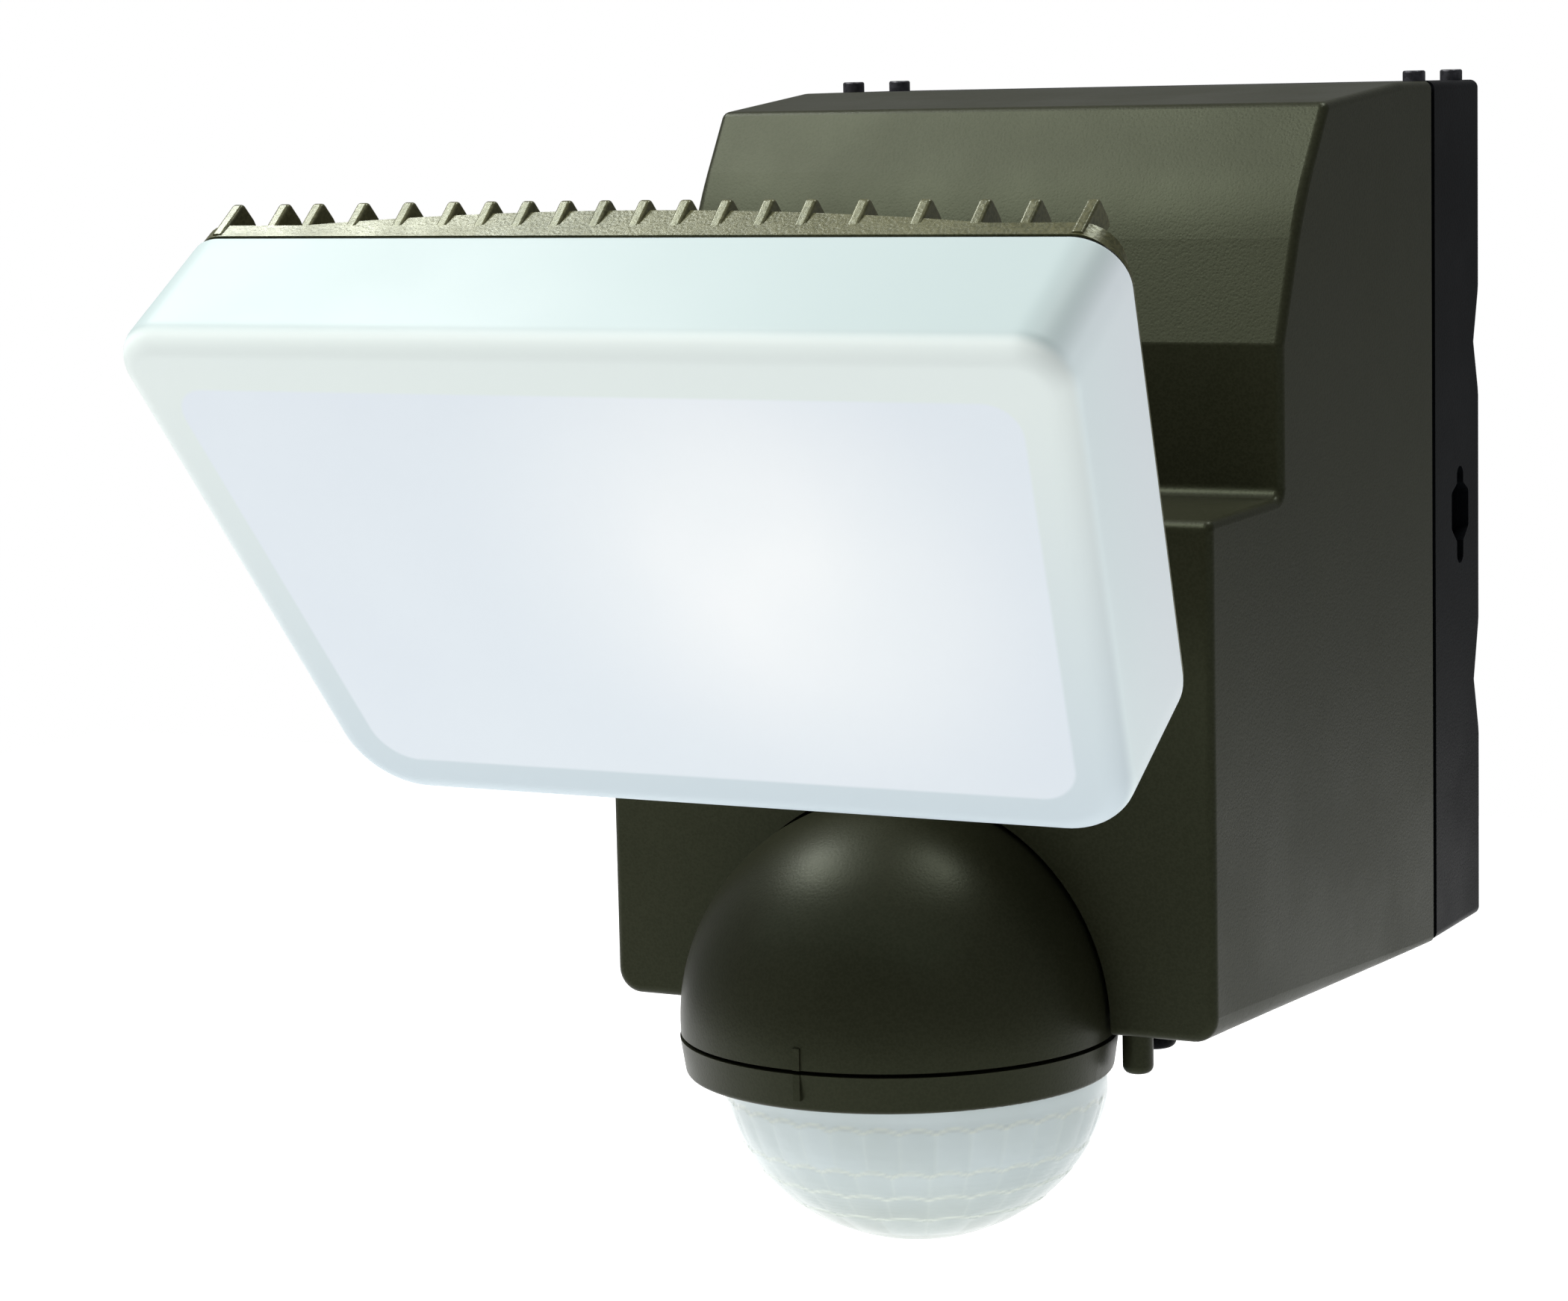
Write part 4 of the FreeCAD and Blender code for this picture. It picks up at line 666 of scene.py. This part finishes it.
# The knob is a disc of rings: the foot sinks into a straight slot with steep smooth walls, a
# quarter circle turns into the side, and fine ribs ripple the radius by the cosine of the turn.
def makeDial(side):
    cx, cy = side * dial["place"][0], dial["place"][1]
    turn = np.linspace(0, 2 * math.pi, dial["columns"], endpoint=False)
    flat = dial["radius"] - dial["round"]

    def ring(radius, height):
        return np.stack([cx + radius * np.cos(turn), cy + radius * np.sin(turn),
                         height + 0 * turn], -1)

    def step(value, edge):
        t = np.clip((edge - np.abs(value)) / 0.00018 + 0.5, 0, 1)
        return t * t * (3 - 2 * t)

    rings = []
    for radius in np.linspace(0.00006, flat, dial["faceRows"]):
        sunk = (step(radius * np.cos(turn), dial["slotHalf"][0])
                * step(radius * np.sin(turn), dial["slotHalf"][1]))
        rings.append(ring(radius, dial["low"] + dial["slotDepth"] * sunk))
    for angle in np.linspace(0, math.pi / 2, 9)[1:]:
        rings.append(ring(flat + dial["round"] * math.sin(angle),
                          dial["low"] + dial["round"] * (1 - math.cos(angle))))
    ripple = dial["radius"] - dial["ribDepth"] * (0.5 - 0.5 * np.cos(dial["ribs"] * turn))
    rings += [ring(ripple, h) for h in (dial["low"] + 0.0018, dial["high"] - 0.0004)]
    rings += [ring(dial["radius"] - 0.0003, dial["high"]), ring(dial["shaft"] + 0.0002, dial["high"]),
              ring(dial["shaft"], dial["high"] + 0.0002), ring(dial["shaft"], dial["shaftTop"] - 0.0002),
              ring(dial["shaft"] - 0.0002, dial["shaftTop"])]
    rings = np.stack(rings)[:, ::-1]
    return ringSkin("dial", rings, (cx, cy, dial["low"] + dial["slotDepth"]), (cx, cy, dial["shaftTop"]))


newPiece("timeDial", makeDial(1), "time_knob", "black_plastic", looks["black_plastic"], "time_dial")
newPiece("rangeDial", makeDial(-1), "range_knob", "black_plastic", looks["black_plastic"], "range_dial")
print("dials made")


studio = {
    "floorHeight": -0.26, "floorHalf": 1.1, "floorLight": (0.28, 0.84), "shadowPool": (0.45, 0.62),
    "sky": 0.26, "seenSky": 1.0,
}

floorMesh = bpy.data.meshes.new("floor")
corner = studio["floorHalf"]
floorMesh.from_pydata([(x * corner, y * corner, studio["floorHeight"])
                       for x, y in ((-1, -1), (1, -1), (1, 1), (-1, 1))], [], [(0, 1, 2, 3)])
floorPiece = bpy.data.objects.new("floor", floorMesh)
bpy.context.scene.collection.objects.link(floorPiece)

# pale paint seen from above, its own light weaker in a round pool under the lamp, a painted shadow;
# from below it lets the view through
floorLook, tree, surface = newLook("floorPaint")
speckle = noise(tree, objectPlace(tree), 0.02, 3)
paint = blend(tree, spread(tree, speckle, 0.3, 0.7), (0.84, 0.84, 0.84), (0.88, 0.88, 0.88))
finishLook(tree, surface, paint, spread(tree, speckle, 0.3, 0.7, 0.75, 0.85), None,
           Specular_IOR_Level=0.1, Emission_Color=(1, 1, 1, 1))
# painted shadow: the floor's own light drops in a round pool under the lamp
away = shaderNode(tree, "VectorMath", {0: objectPlace(tree), 1: (0, -0.2, studio["floorHeight"])},
                  operation="DISTANCE").outputs["Value"]
tree.links.new(spread(tree, away, *studio["shadowPool"], *studio["floorLight"]),
               surface.inputs["Emission Strength"])
below = shaderNode(tree, "NewGeometry").outputs["Backfacing"]
clear = shaderNode(tree, "BsdfTransparent")
both = shaderNode(tree, "MixShader", {0: below, 1: surface.outputs["BSDF"], 2: clear.outputs["BSDF"]})
output = next(n for n in tree.nodes if n.type == "OUTPUT_MATERIAL")
tree.links.new(both.outputs[0], output.inputs["Surface"])
floorMesh.materials.append(floorLook)

world = bpy.data.worlds.new("studio")
bpy.context.scene.world = world
world.use_nodes = True
air = world.node_tree
air.nodes.clear()
seen = shaderNode(air, "LightPath").outputs["Is Camera Ray"]
skyLight = shaderNode(air, "Background", {"Color": (0.97, 0.985, 1.0, 1), "Strength": studio["sky"]})
skySeen = shaderNode(air, "Background", {"Color": (1, 1, 1, 1), "Strength": studio["seenSky"]})
mixed = shaderNode(air, "MixShader", {0: seen, 1: skyLight.outputs[0], 2: skySeen.outputs[0]})
shaderNode(air, "OutputWorld", {"Surface": mixed.outputs[0]})

softboxes = {
    "upperLeft": {"at": (-0.46, -0.52, 0.80), "size": (0.55, 0.45), "power": 10.5, "tint": (1, 1, 0.97)},
    "overLeft": {"at": (-0.58, -0.04, 0.78), "size": (0.24, 0.24), "power": 4.5, "tint": (1, 1, 1)},
    "overRight": {"at": (0.22, 0.16, 0.92), "size": (0.24, 0.24), "power": 4.5, "tint": (1, 1, 1)},
}
aim = np.array([0.0, -0.13, 0.0])


# A rectangular light whose -Z looks from its place to the aim
def addSoftbox(name, spec):
    light = bpy.data.lights.new(name, "AREA")
    light.shape = "RECTANGLE"
    light.size, light.size_y = spec["size"]
    light.energy = spec["power"]
    light.color = spec["tint"]
    lamp = bpy.data.objects.new(name, light)
    bpy.context.scene.collection.objects.link(lamp)
    back = np.array(spec["at"]) - aim
    back = back / np.linalg.norm(back)
    side = np.cross((0.0, 0.0, 1.0), back)
    side = side / np.linalg.norm(side)
    up = np.cross(back, side)
    rows = [[side[i], up[i], back[i], spec["at"][i]] for i in range(3)]
    lamp.matrix_world = Matrix(rows + [[0, 0, 0, 1]])


for name, spec in softboxes.items():
    addSoftbox(name, spec)

# the photograph's own camera, found from the object's edges
lens = {
    "place": (0.344797, -0.807122, 0.08501), "yaw": 28.334, "pitch": 7.46, "roll": 1.275,
    "focalPixels": 5909.871, "imageWidth": 2100, "sensor": 36.0,
}
yaw, pitch, roll = (math.radians(lens[k]) for k in ("yaw", "pitch", "roll"))
ahead = np.array([-math.sin(yaw) * math.cos(pitch), math.cos(yaw) * math.cos(pitch), -math.sin(pitch)])
right = np.array([math.cos(yaw), math.sin(yaw), 0.0])
down = np.cross(ahead, right)
right, down = (math.cos(roll) * right + math.sin(roll) * down,
               math.cos(roll) * down - math.sin(roll) * right)
cameraData = bpy.data.cameras.new("camera")
cameraData.sensor_width = lens["sensor"]
cameraData.lens = lens["sensor"] * lens["focalPixels"] / lens["imageWidth"]
cameraData.clip_start, cameraData.clip_end = 0.01, 50
camera = bpy.data.objects.new("camera", cameraData)
bpy.context.scene.collection.objects.link(camera)
camera.matrix_world = Matrix([[right[i], -down[i], -ahead[i], lens["place"][i]] for i in range(3)]
                                + [[0, 0, 0, 1]])
bpy.context.scene.camera = camera
bpy.context.scene.view_settings.view_transform = "Standard"
bpy.context.scene.view_settings.look = "None"
print("floor, light and camera made")
